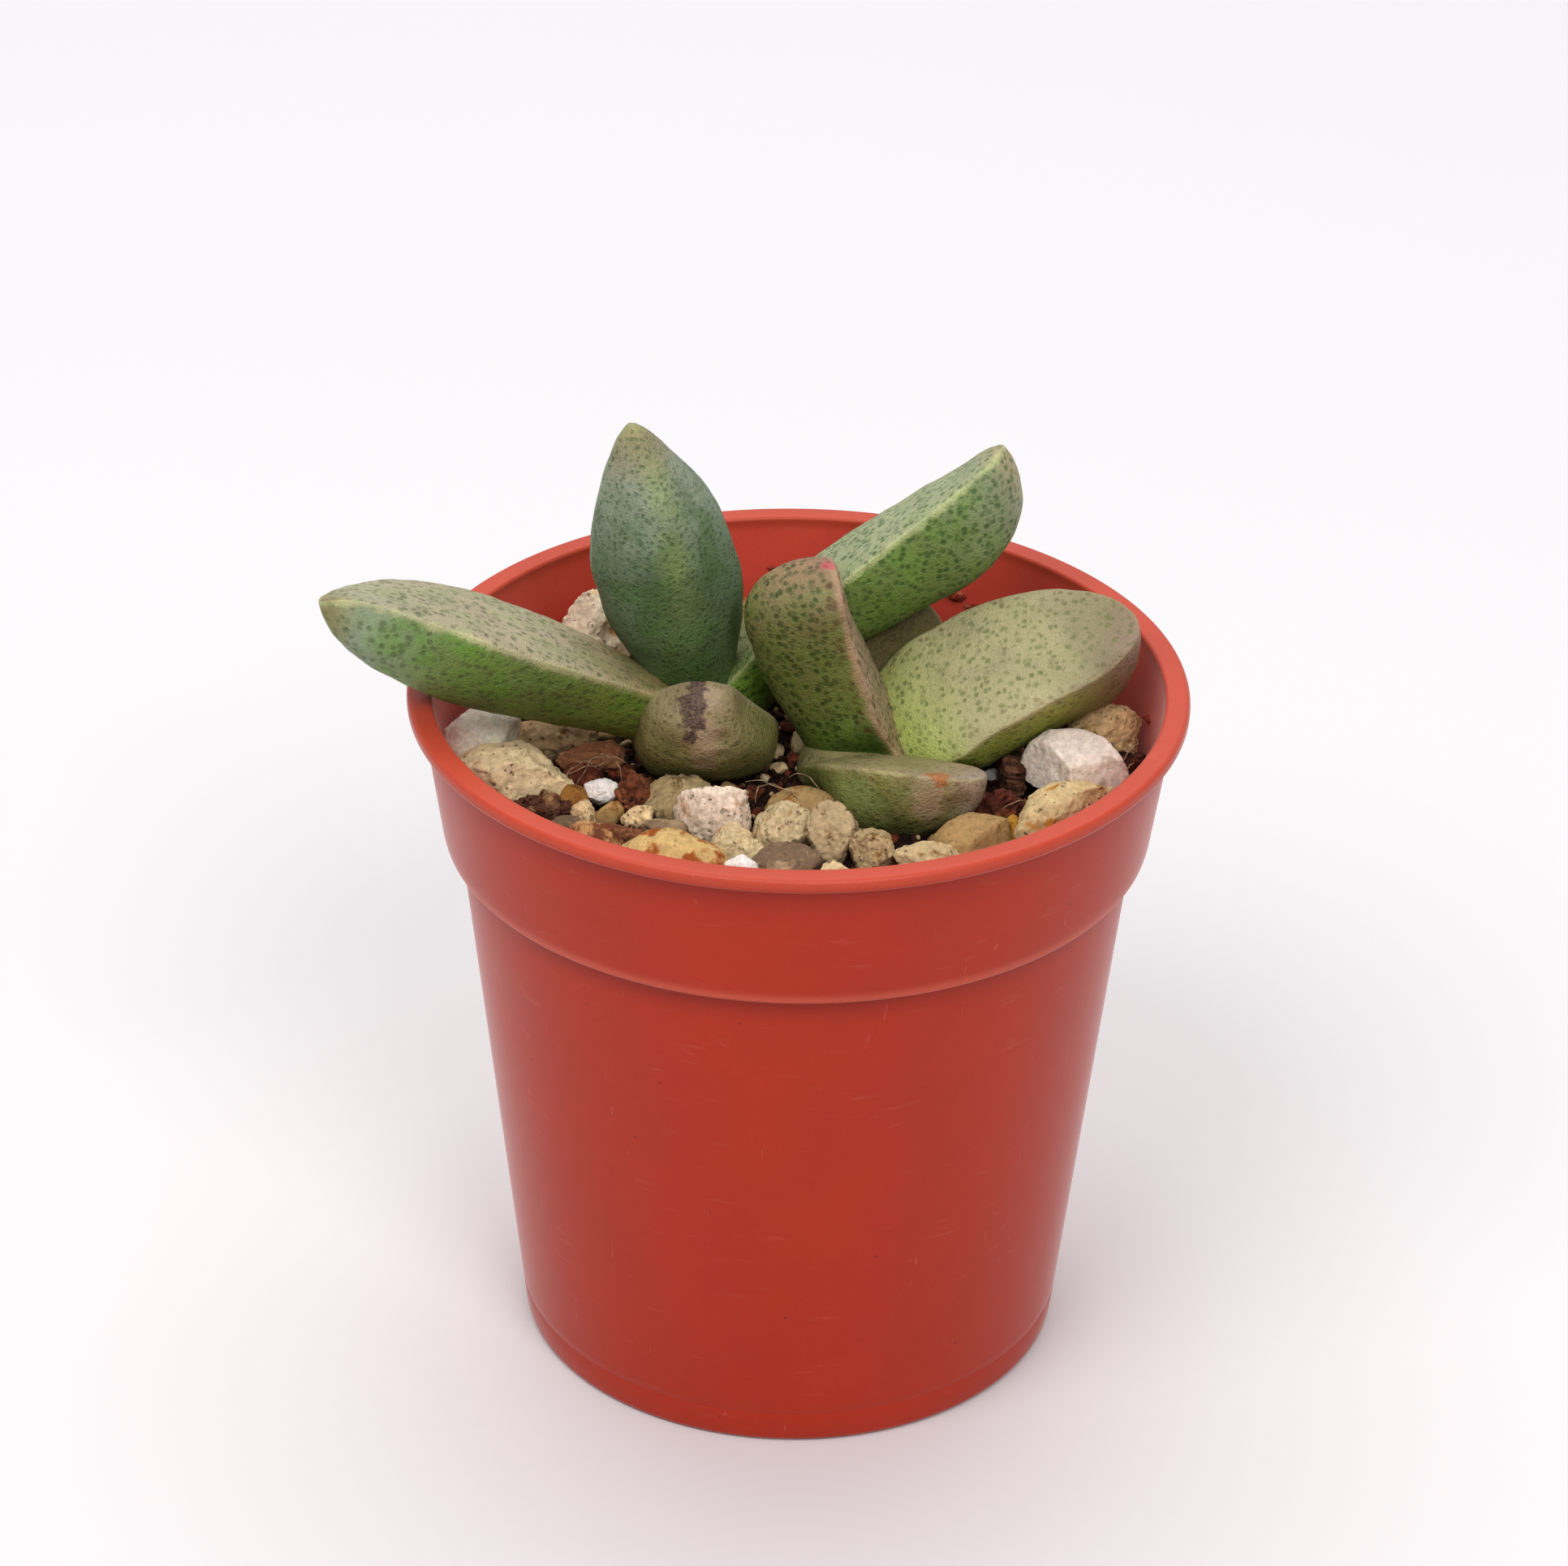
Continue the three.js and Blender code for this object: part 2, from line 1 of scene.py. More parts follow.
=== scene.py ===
"""A young Pleiospilos simulans in a small plastic pot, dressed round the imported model.

The frame is in metres. Forms that follow a rule are worked out in millimetres and scaled by MM.
"""

import math
import random
from collections import namedtuple

import bmesh
import bpy
import numpy as np
from mathutils import Matrix, Vector, kdtree, noise


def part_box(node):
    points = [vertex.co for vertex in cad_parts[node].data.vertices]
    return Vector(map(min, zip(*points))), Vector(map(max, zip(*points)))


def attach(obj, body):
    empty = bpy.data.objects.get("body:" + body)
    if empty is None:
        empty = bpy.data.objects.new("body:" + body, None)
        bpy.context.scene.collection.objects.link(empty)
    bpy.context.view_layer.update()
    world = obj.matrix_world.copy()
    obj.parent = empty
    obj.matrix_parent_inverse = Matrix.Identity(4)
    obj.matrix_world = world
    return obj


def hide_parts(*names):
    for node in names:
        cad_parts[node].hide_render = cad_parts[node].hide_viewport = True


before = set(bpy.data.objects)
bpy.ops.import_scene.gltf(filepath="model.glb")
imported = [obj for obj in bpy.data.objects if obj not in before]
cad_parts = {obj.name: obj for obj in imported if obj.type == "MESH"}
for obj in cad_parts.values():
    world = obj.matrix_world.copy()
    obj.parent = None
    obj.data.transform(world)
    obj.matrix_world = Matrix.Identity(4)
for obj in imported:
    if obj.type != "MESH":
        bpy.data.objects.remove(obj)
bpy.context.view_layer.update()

bl_info = {
    "name": "Potted Pleiospilos",
    "version": (1, 0, 0),
    "blender": (4, 5, 0),
    "location": "3D View > Sidebar > Plant",
    "description": "Dresses a potted Pleiospilos simulans: pot, potting mix, leaves, stones and grit",
    "category": "Add Mesh",
}

MM = 0.001
DOUBLE_REACH = 0.001 * MM
GOLDEN_ANGLE = math.pi * (3 - math.sqrt(5))
NOISE_SEED = 7

noise.seed_set(NOISE_SEED)  # noise_vector differs from run to run without it

# Sizes of the pot, in millimetres
LIP_RADIUS, _, POT_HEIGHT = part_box("pot")[1] / MM
POT = {
    "wall": 0.75,
    "foot_radius": 19.6,
    "body_radius": 24.0,
    "collar_bottom": 40.3,
    "collar_foot_radius": 25.1,
    "collar_top_radius": 26.5,
    "lip_thickness": 1.1,
    "floor_top": 2.2,
    "channel_height": 1.2,
    "channel_inner": 6.5,
    "channel_outer": 16.8,
    "channel_slope": 0.8,
    "foot_line": 2.6,  # height of the faint moulding line above the ground
    "foot_line_depth": 0.05,
}
SOIL = {"level": 43.4, "crown": 0.5, "relief": 0.45, "clearance": 0.03}
# Fine crumbs of the soil: how often they come in a millimetre, where the noise is read, and height
SOIL_CRUMBS = ((1.1, 4.0, 0.3), (2.9, 9.0, 0.2), (7.5, 2.0, 0.09))

# Leaves. The spine has four points and the upper face looks one way at the base and another at the tip.
# Half width and keel depth are each given as full size, share at the base and where it is full, and their
# tapers as where it starts, fullness and roundness. Then the crown of the upper face, as a share of the half
# width, and how square the section is above and below.
LeafForm = namedtuple("LeafForm", "spine upper width taper keel keel_taper crown section")
LEAF_FORMS = {
    "left_head_leaf_front": LeafForm(
        ((-6.3, 2.8, 46.5), (-6.8, 0.75, 46.2), (-6.2, -1.1, 48.9), (-6.9, -2.5, 52.6)),
        ((-0.13, 0.79, 0.57), (0.04, 0.7, 0.69)),
        (5.2, 0.77, 0.38), (0.3, 2.3, 2.0), (4.0, 0.84, 0.5), (0.6, 2.4, 2.2), 0.17, (2.2, 2.9)),
    "right_head_leaf_front": LeafForm(
        ((2.2, -1.4, 45.6), (4.2, -3.7, 47.5), (8.0, -5.1, 47.6), (13.1, -7.5, 48.2)),
        ((-0.1, 0.55, 1.03), (-0.04, 0.4, 1.09)),
        (4.0, 0.65, 0.39), (0.57, 2.3, 1.8), (5.2, 0.55, 0.48), (0.56, 1.95, 2.15), 0.09, (2.6, 1.9)),
    "left_head_leaf_upright": LeafForm(
        ((-6.9, 4.0, 45.9), (-8.3, 5.8, 54.2), (-10.2, 6.3, 58.2), (-12.1, 5.1, 68.8)),
        ((0.07, 1.0, 0.09), (-0.46, 0.79, 0.0)),
        (5.1, 0.49, 0.48), (0.62, 1.6, 1.42), (5.4, 0.6, 0.37), (0.58, 2.1, 1.75), 0.22, (2.25, 1.8)),
    "right_head_leaf_upright": LeafForm(
        ((7.7, -0.2, 45.5), (4.9, 3.1, 49.0), (1.9, 1.2, 58.3), (2.0, 2.2, 60.1)),
        ((0.85, -0.05, 0.52), (0.97, 0.2, 0.15)),
        (4.2, 0.5, 0.25), (0.75, 2.2, 1.55), (6.8, 0.82, 0.58), (0.66, 2.55, 1.75), 0.14, (2.5, 1.75)),
    "right_head_leaf_side": LeafForm(
        ((7.0, 0.2, 45.6), (8.0, 1.5, 50.5), (19.0, 3.4, 54.9), (23.7, 1.5, 54.4)),
        ((-0.27, -0.42, 0.93), (-0.39, -0.43, 0.82)),
        (5.6, 0.7, 0.28), (0.45, 1.6, 2.0), (6.8, 0.72, 0.33), (0.81, 2.6, 2.0), 0.1, (2.8, 2.0)),
    "left_head_leaf_side": LeafForm(
        ((-6.6, 3.1, 47.6), (-15.3, -1.4, 54.6), (-28.4, -2.5, 60.4), (-32.8, -6.8, 60.6)),
        ((0, 0, 1), (-0.45, -0.04, 0.85)),
        (5.1, 0.53, 0.51), (0.41, 2.05, 1.3), (6.4, 0.65, 0.56), (0.49, 1.55, 1.85), 0.14, (2.6, 1.9)),
    "left_head_leaf_long": LeafForm(
        ((-7.3, 4.6, 47.3), (-0.3, 8.2, 56.3), (9.9, 10.0, 60.3), (14.3, 12.0, 64.3)),
        ((-0.61, -0.12, 0.72), (-0.67, 0.25, 0.61)),
        (4.5, 0.62, 0.53), (0.88, 2.2, 1.55), (6.6, 0.72, 0.69), (0.65, 2.05, 1.7), 0.12, (2.8, 1.6)),
    "right_head_leaf_back": LeafForm(
        ((6.4, 3.5, 46.0), (6.3, 6.5, 49.5), (6.4, 9.5, 51.8), (6.6, 11.5, 52.6)),
        ((0, -0.5, 1), (0, -0.2, 1)),
        (4.1, 0.7, 0.4), (0.5, 2.2, 1.7), (3.8, 0.7, 0.4), (0.6, 2.2, 1.8), 0.1, (2.8, 1.7)),
}

# What a leaf's mesh carries for its material
LEAF_FIELDS = ("along", "face", "margin", "keel", "depth")
# Lumps that are grown together with a leaf: centre and half sizes, and the faces' size where they join
LEAF_LUMPS = {"right_head_leaf_front": [((4.4, 0.5, 44.3), (4.4, 4.3, 3.0))]}
LUMP_FACES = 0.13
LUMP_ROUNDS = 14

# Leaf skins: the upper face and the flanks at base, middle and tip, then patches, margin, keel line and tip,
# each with its share, then the dots' tints within and by the margin, their spacing, size and share, a tint in
# the middle of the leaf, and the depth of the mottling
LeafSkin = namedtuple("LeafSkin", "upper flank patch margin keel_line tip_blush dots dotting zone mottle")
LEAF_SKINS = {
    "left_head_leaf_front": LeafSkin(
        ("#8e8a68", "#94906e", "#968c6e"), ("#6a6a38", "#86824e", "#8e8460"),
        ("#6c7440", 0.5), ("#8c8460", 0.15), ("#a08c62", 0.6), ("#80684c", 0.4),
        ("#4a4f2a", "#4a4f2a"), (0.5, 0.38, 0.5), None, 1.7),
    # Painted shade: the flank's base colour is darkened for the shade at the crown and under the upright leaf
    # beside it
    "right_head_leaf_front": LeafSkin(
        ("#857d55", "#90855f", "#99876e"), ("#4e4c20", "#80804a", "#968a5e"),
        ("#66763a", 0.55), ("#aaa074", 0.5), ("#867e58", 0.2), ("#a8988a", 0.8),
        ("#44502a", "#7c5038"), (0.55, 0.4, 0.45), None, 1.5),
    "left_head_leaf_upright": LeafSkin(
        ("#6e8458", "#809276", "#949c88"), ("#6a7e4c", "#687c60", "#959c8a"),
        ("#4c6a34", 0.5), ("#949e84", 0.4), ("#8a9a58", 0.5), ("#94865c", 0.7),
        ("#33502c", "#33502c"), (0.42, 0.42, 0.6), "#4a602c", 1.8),
    # Painted shade: the flank's base colour is darkened for the shade among the leaves at the crown
    "right_head_leaf_upright": LeafSkin(
        ("#a08a6c", "#b09a80", "#ab8c7a"), ("#385a0a", "#747a42", "#8c7e5a"),
        ("#6a8430", 0.4), ("#a88c6c", 0.75), ("#78803c", 0.2), ("#b07468", 0.35),
        ("#2c4614", "#5e3420"), (0.56, 0.47, 0.85), None, 1.2),
    # Painted light: the flanks are coloured brighter for the light on the leaf's lower flank
    "right_head_leaf_side": LeafSkin(
        ("#acb868", "#a9a37e", "#7e7256"), ("#88a834", "#9caa50", "#8a7c60"),
        ("#9ca85c", 0.35), ("#a8a070", 0.3), ("#868a5c", 0.2), ("#a08878", 0.6),
        ("#66703c", "#786040"), (0.56, 0.4, 0.72), None, 1.1),
    "left_head_leaf_side": LeafSkin(
        ("#948054", "#aca286", "#aaa88c"), ("#809038", "#728846", "#98a48c"),
        ("#6a9438", 0.65), ("#bcbb8c", 0.6), ("#6a7440", 0.3), ("#8a7c40", 0.7),
        ("#54603a", "#54603a"), (0.6, 0.44, 0.75), None, 1.3),
    "left_head_leaf_long": LeafSkin(
        ("#929b65", "#a1a680", "#a1a683"), ("#7ea038", "#788f4e", "#989f82"),
        ("#74983c", 0.5), ("#bcc48c", 0.6), ("#8f9a74", 0.3), ("#b09a70", 0.7),
        ("#40602c", "#40602c"), (0.54, 0.46, 0.85), None, 1.2),
    # Painted shadow: the upper face is darkened for the shadow of the long leaf above it
    "right_head_leaf_back": LeafSkin(
        ("#565024", "#665a2e", "#7a6c44"), ("#6f7a34", "#7c7c48", "#8a805c"),
        ("#747c40", 0.3), ("#a08c70", 0.5), ("#7c7c4c", 0.2), ("#968468", 0.5),
        ("#50502c", "#50502c"), (0.55, 0.4, 0.5), None, 1.2),
}

# Kinds of blemish: tint, share, and how much of the mask its ragged edge takes
MARK_KINDS = {
    "scab": ("#a8947c", 0.8, 0.3),
    "scar": ("#3c2226", 0.95, 0.5),
    "spot": ("#a8642c", 0.9, 0.3),
    "red": ("#c04c5c", 0.8, 0.25),
}
# Blemishes: kind, place and reach in millimetres
LEAF_MARKS = {
    "left_head_leaf_front": [
        ("scar", (-7.2, -2.8, 52.6), 1.3),
        ("scar", (-7.4, -3.8, 51.7), 1.5),
        ("scar", (-7.2, -4.5, 50.7), 1.3),
        ("scar", (-7.5, -4.9, 49.6), 0.8),
        ("scab", (-6.4, -3.6, 52.0), 1.3),
        ("scab", (-6.6, -4.8, 50.0), 1.5),
        ("scab", (-6.5, -4.9, 48.6), 1.5),
        ("scab", (-6.5, -4.7, 47.0), 1.4),
    ],
    "right_head_leaf_front": [
        ("spot", (9.9, -8.7, 48.9), 0.8),
        ("spot", (9.3, -8.6, 49.1), 0.5),
        ("scab", (9.1, -9.3, 48.0), 1.3),
        ("scab", (9.0, -9.2, 46.6), 1.2),
    ],
    "right_head_leaf_upright": [("red", (1.9, 0.3, 60.4), 0.6)],
}

# Dents and swellings that no formula gives: place, reach and push in millimetres
LEAF_DENTS = {
    "left_head_leaf_front": [
        ((-2.6, -2.2, 50.6), 3.2, (-0.9, 0.2, 0.1)),
        ((-10.6, -2.2, 50.4), 2.8, (-0.5, 0.1, 0.25)),
        ((-4.6, -3.6, 51.6), 1.6, (0.1, -0.25, 0.2)),
        ((-8.9, -4.0, 50.2), 1.7, (-0.1, -0.35, 0.1)),
        ((-5.3, -5.0, 49.4), 0.9, (0.0, 0.3, 0.0)),
        ((-5.4, -5.1, 47.8), 0.9, (0.0, 0.25, 0.0)),
        ((-7.9, -4.9, 48.4), 1.0, (0.0, 0.2, 0.0)),
        ((-6.5, -4.9, 48.2), 1.2, (0.0, -0.2, 0.0)),
    ],
    "right_head_leaf_front": [
        ((7.2, -8.6, 46.4), 2.4, (0.0, -0.25, 0.0)),
        ((11.4, -9.2, 46.6), 1.6, (0.0, 0.3, 0.15)),
        ((4.6, -7.2, 45.6), 2.8, (-0.35, -0.75, -0.2)),
    ],
}

# Stones: the colour of the body, of its stains, and how much of it is stained
STONE_TINTS = {
    "pumice": ("#e8cfa2", "#bd8c54", 0.25),
    "perlite": ("#f0ece6", "#d8cdbe", 0.2),
    "gravel": ("#b39464", "#94602e", 0.4),
    "lava": ("#6c3626", "#8c5234", 0.5),
    "bark": ("#6a4532", "#8f6a48", 0.4),
    "slate": ("#8c745c", "#ac9474", 0.45),
    "pumice_blush": ("#f2e2cf", "#d8b898", 0.2),
    "pumice_right": ("#d8c294", "#c08438", 0.25),
    "pumice_back_left": ("#fdecd0", "#d8a050", 0.15),
    "pumice_under_leaf": ("#d4b488", "#94744c", 0.4),
    "pumice_right_far": ("#dcc090", "#a8844c", 0.3),
    "pumice_below_front_leaf": ("#a89670", "#7f6a48", 0.5),
    "gravel_front_left": ("#d0b47c", "#a8602a", 0.38),
    "gravel_ochre": ("#b98f3c", "#a8742a", 0.5),
    "lava_left_front": ("#6c4434", "#b08860", 0.45),
    "pumice_left": ("#f8e0b2", "#c89c60", 0.15),
    # Painted light: this stone lies in the shade of the leaf that reaches out to the left, and is coloured
    # lighter than its kind
    "perlite_left": ("#fffae8", "#f0e2c8", 0.2),
    "perlite_right": ("#ddd2c6", "#c4b4a2", 0.3),
    "pumice_front_far": ("#cab288", "#9c7848", 0.3),
    "pumice_middle_right": ("#ceb48c", "#84643c", 0.35),
    "pumice_front_left": ("#c89c6c", "#7c4830", 0.45),
    "pumice_front_right": ("#bca47c", "#84643a", 0.35),
    "bark_left": ("#9a6a4a", "#b98c60", 0.4),
    "bark_right": ("#583828", "#7c5640", 0.4),
    "lava_right_far": ("#4c2822", "#6c3c2c", 0.5),
    "lava_front": ("#86503a", "#a06c48", 0.5),
    "lava_left_middle": ("#864e34", "#9a6040", 0.5),
    "gravel_left_middle": ("#8a5a34", "#a87a3c", 0.6),
}
STONE_KINDS = ("pumice", "perlite", "gravel", "lava", "bark", "slate")
# Pores of a kind of stone: how deep their tint is, and the tint, which also paints shade into the stone's
# pits and cracks
STONE_PORES_AND_SHADE = {
    "pumice": (0.6, "#73593a"),
    "perlite": (0.12, "#b8aea0"),
    "gravel": (0.3, "#7a5530"),
    "lava": (0.9, "#2a1a14"),
    "bark": (0.3, "#2a1a14"),
    "slate": (0.2, "#2a1a14"),
}
# How rough each kind of stone is, in millimetres: broad lumps, small lumps, crumbs, pits and cracks
STONE_RELIEF = {
    "pumice": (0.08, 0.05, 0.06, 0.14, 0.1),
    "perlite": (0.08, 0.03, 0.03, 0.04, 0.06),
    "gravel": (0.1, 0.04, 0.02, 0.05, 0.03),
    "lava": (0.2, 0.12, 0.1, 0.25, 0.3),
    "bark": (0.16, 0.14, 0.08, 0.08, 0.16),
    "slate": (0.1, 0.05, 0.03, 0.03, 0.04),
}
# Layers of a stone's grain: a kind that isn't here has none
STONE_GRAIN = {"bark": (0.35, 1.3, 2.2), "slate": (0.6, 0.8, 2.6)}
# How a kind of stone is broken: flat faces, the deepest cut as a share of the stone's reach, and scoops
STONE_BREAKS = {
    "pumice": (9, 0.42, 3),
    "perlite": (8, 0.42, 2),
    "gravel": (9, 0.32, 1),
    "lava": (12, 0.34, 5),
    "bark": (10, 0.3, 2),
    "slate": (9, 0.3, 1),
}


# A stone's finest faces, and how far its surface is grown before it is worn, in millimetres
FINEST_STONE_FACES = 0.075
STONE_SKIN = 0.08


def stone_kind(name):
    return name.split("_")[0]


def is_stone(name):
    return stone_kind(name) in STONE_KINDS


def linear(color):
    """A hex colour as the linear red, green, blue and alpha that Blender's sockets take."""
    parts = [int(color[i:i + 2], 16) / 255 for i in (1, 3, 5)]
    return tuple(c / 12.92 if c <= 0.04045 else ((c + 0.055) / 1.055) ** 2.4 for c in parts) + (1.0,)


# Settings


class PotSettings(bpy.types.PropertyGroup):
    wall_color: bpy.props.FloatVectorProperty(
        name="Wall colour", description="Colour of the pot's outer wall", subtype="COLOR", size=4,
        min=0, max=1, default=linear("#aa2f12"))
    # Painted light: the lip is the wall's plastic, coloured lighter for the light that shines through it and
    # falls on it from above
    lit_lip_color: bpy.props.FloatVectorProperty(
        name="Lip colour", description="Colour of the thin lip, where light shines through", subtype="COLOR",
        size=4, min=0, max=1, default=linear("#b94a33"))
    # Painted light: the inner wall is the wall's plastic, coloured lighter for the light that falls inside
    # the pot
    lit_inner_color: bpy.props.FloatVectorProperty(
        name="Inner colour", description="Colour of the inner wall", subtype="COLOR", size=4,
        min=0, max=1, default=linear("#d25444"))
    roughness: bpy.props.FloatProperty(
        name="Roughness", description="How matt the plastic is", min=0, max=1, default=0.42)
    segments: bpy.props.IntProperty(
        name="Segments", description="Faces round the pot", min=24, max=512, default=240)
    drain_count: bpy.props.IntProperty(
        name="Drain holes", description="Holes in the pot's floor", min=1, max=12, default=6)
    drain_radius: bpy.props.FloatProperty(
        name="Drain radius", description="Radius of a drain hole", unit="LENGTH", default=2.0 * MM)
    drain_circle: bpy.props.FloatProperty(
        name="Drain circle", description="Distance of the drain holes from the axis", unit="LENGTH",
        default=11.6 * MM)


class LeafSettings(bpy.types.PropertyGroup):
    rows: bpy.props.IntProperty(
        name="Rows", description="Sections from a leaf's base to its tip", min=20, max=200, default=120)
    columns: bpy.props.IntProperty(
        name="Columns", description="Points round a leaf's section", min=24, max=200, default=96)
    swell: bpy.props.FloatProperty(
        name="Swell", description="Height of the slow humps of the skin", unit="LENGTH", default=0.11 * MM)
    roughness: bpy.props.FloatProperty(
        name="Roughness", description="How matt the waxy skin is", min=0, max=1, default=0.5)


class StoneSettings(bpy.types.PropertyGroup):
    detail: bpy.props.FloatProperty(
        name="Detail", description="Size of a stone's faces, as a share of its half size", min=0.02, max=0.2,
        default=0.05)
    relief: bpy.props.FloatProperty(
        name="Relief", description="Scales the lumps and pits of every stone", min=0, max=3, default=1.0)
    chip_count: bpy.props.IntProperty(
        name="Chips", description="Small stones that fill the gaps between the larger ones", min=0, max=400,
        default=150)
    seed: bpy.props.IntProperty(
        name="Seed", description="Changes where the chips lie", min=0, default=7)


class GritSettings(bpy.types.PropertyGroup):
    spacing: bpy.props.FloatProperty(
        name="Spacing", description="Least distance between two grains", unit="LENGTH", default=0.62 * MM)
    smallest: bpy.props.FloatProperty(
        name="Smallest", description="Radius of the smallest grain", unit="LENGTH", default=0.16 * MM)
    largest: bpy.props.FloatProperty(
        name="Largest", description="Radius of the largest grain", unit="LENGTH", default=0.46 * MM)
    seed: bpy.props.IntProperty(
        name="Seed", description="Changes where the grains lie", min=0, default=3)
    fibre_radius: bpy.props.FloatProperty(
        name="Fibre radius", description="Radius of a dry root fibre", unit="LENGTH", default=0.045 * MM)


class StageSettings(bpy.types.PropertyGroup):
    floor_size: bpy.props.FloatProperty(
        name="Floor size", description="Width of the pale floor", unit="LENGTH", default=6.0)
    floor_color: bpy.props.FloatVectorProperty(
        name="Floor colour", description="Colour of the pale floor", subtype="COLOR", size=4,
        min=0, max=1, default=linear("#dbdada"))
    surround: bpy.props.FloatProperty(
        name="Surround", description="Brightness of the white surround", min=0, max=10, default=0.52)
    key_power: bpy.props.FloatProperty(
        name="Left light", description="Power of the soft light high on the left", unit="POWER", default=3.1)
    fill_power: bpy.props.FloatProperty(
        name="Overhead light", description="Power of the soft light above", unit="POWER", default=5.4)
    front_power: bpy.props.FloatProperty(
        name="Camera light", description="Power of the soft light by the camera", unit="POWER", default=2.7)
    contrast: bpy.props.FloatProperty(
        name="Contrast", description="Steepness of the tones, as a camera gives them",
        min=0.5, max=2, default=1.15)
    exposure: bpy.props.FloatProperty(
        name="Exposure", description="Brightness of the picture in stops", min=-3, max=3, default=0.18)


# Node helpers

SOCKET_TYPES = {float: "Float", int: "Int", tuple: "Color"}


def add(tree, kind, values=None, **settings):
    """Adds a node. A value is set on its socket, or linked to it where the value is a socket."""
    made = tree.nodes.new(kind)
    for name, value in settings.items():
        setattr(made, name, value)
    for key, value in (values or {}).items():
        if isinstance(value, bpy.types.NodeSocket):
            tree.links.new(value, made.inputs[key])
        else:
            made.inputs[key].default_value = value
    return made


def calculate(tree, operation, *values, clamp=False):
    made = add(tree, "ShaderNodeMath", dict(enumerate(values)), operation=operation, use_clamp=clamp)
    return made.outputs[0]


def plus(tree, first, second):
    return calculate(tree, "ADD", first, second)


def minus(tree, first, second):
    return calculate(tree, "SUBTRACT", first, second)


def times(tree, first, second, clamp=False):
    return calculate(tree, "MULTIPLY", first, second, clamp=clamp)


def scaled(tree, value, factor, start):
    """The value times a factor, added to a start."""
    return calculate(tree, "MULTIPLY_ADD", value, factor, start)


def vector_math(tree, operation, *values):
    return add(tree, "ShaderNodeVectorMath", dict(enumerate(values)), operation=operation).outputs[0]


def stretched(tree, vector, factors):
    return vector_math(tree, "MULTIPLY", vector, factors)


def lengthened(tree, vector, factor):
    return add(tree, "ShaderNodeVectorMath", {0: vector, "Scale": factor}, operation="SCALE").outputs[0]


def mix(tree, share, low, high, blend="MIX"):
    sockets = {0: share, 6: low, 7: high}
    return add(tree, "ShaderNodeMix", sockets, data_type="RGBA", blend_type=blend).outputs[2]


def shaded(tree, color, shade):
    """The colour made lighter or darker by a shade round one."""
    return mix(tree, 1.0, color, shade, "MULTIPLY")


def tinted(tree, color, mask, tint, share):
    """The colour with a tint over it where the mask lies, at most as strong as the share."""
    return mix(tree, times(tree, mask, share), color, linear(tint))


def step(tree, value, low, high, to_low=0.0, to_high=1.0):
    """Turns a value smoothly from to_low at low to to_high at high."""
    sockets = {"Value": value, "From Min": low, "From Max": high, "To Min": to_low, "To Max": to_high}
    return add(tree, "ShaderNodeMapRange", sockets, interpolation_type="SMOOTHSTEP").outputs[0]


def noise_value(tree, vector, scale, detail=2.0, roughness=0.5):
    sockets = {"Vector": vector, "Scale": scale, "Detail": detail, "Roughness": roughness}
    return add(tree, "ShaderNodeTexNoise", sockets).outputs[0]


def wandering(tree, place, scale, detail, reach):
    """The place moved about by noise, so that the edges of a pattern come out ragged."""
    ragged = add(tree, "ShaderNodeTexNoise", {"Vector": place, "Scale": scale, "Detail": detail})
    return vector_math(tree, "ADD", place, stretched(tree, ragged.outputs["Color"], (reach, reach, reach)))


def attribute(tree, name, output="Fac"):
    return add(tree, "ShaderNodeAttribute", attribute_name=name).outputs[output]


def millimetres(tree):
    """Object coordinates in millimetres."""
    return stretched(tree, add(tree, "ShaderNodeTexCoord").outputs["Object"], (1 / MM, 1 / MM, 1 / MM))


def separate(tree, vector):
    return add(tree, "ShaderNodeSeparateXYZ", {0: vector}).outputs


def new_group(name, inputs, outputs, kind="ShaderNodeTree"):
    """A node group and its inputs. An input is given by its default, or by its type where it has none."""
    group = bpy.data.node_groups.new(name, kind)
    for label, value in inputs.items():
        bare = isinstance(value, str)
        socket_type = value if bare else SOCKET_TYPES[type(value)]
        socket = group.interface.new_socket(label, in_out="INPUT", socket_type=f"NodeSocket{socket_type}")
        if not bare:
            socket.default_value = value
    for label, socket_type in outputs.items():
        group.interface.new_socket(label, in_out="OUTPUT", socket_type=f"NodeSocket{socket_type}")
    return group, add(group, "NodeGroupInput").outputs


def shared_group(name, maker):
    """The node group of that name, which is made the first time that it is asked for."""
    return bpy.data.node_groups.get(name) or maker()


def use_group(tree, name, maker, values):
    return add(tree, "ShaderNodeGroup", values, node_tree=shared_group(name, maker)).outputs


def new_material(name):
    material = bpy.data.materials.new(name)
    material.use_nodes = True
    return material, material.node_tree, material.node_tree.nodes["Principled BSDF"]


def finish_surface(tree, surface, color, roughness, height, strength, distance, **fixed):
    """Links the colour, the roughness and a bump to a Principled shader, and sets its fixed values."""
    tree.links.new(color, surface.inputs["Base Color"])
    tree.links.new(roughness, surface.inputs["Roughness"])
    bump = add(tree, "ShaderNodeBump", {"Height": height, "Strength": strength, "Distance": distance})
    tree.links.new(bump.outputs[0], surface.inputs["Normal"])
    for label, value in fixed.items():
        surface.inputs[label.replace("_", " ")].default_value = value


# Shader groups


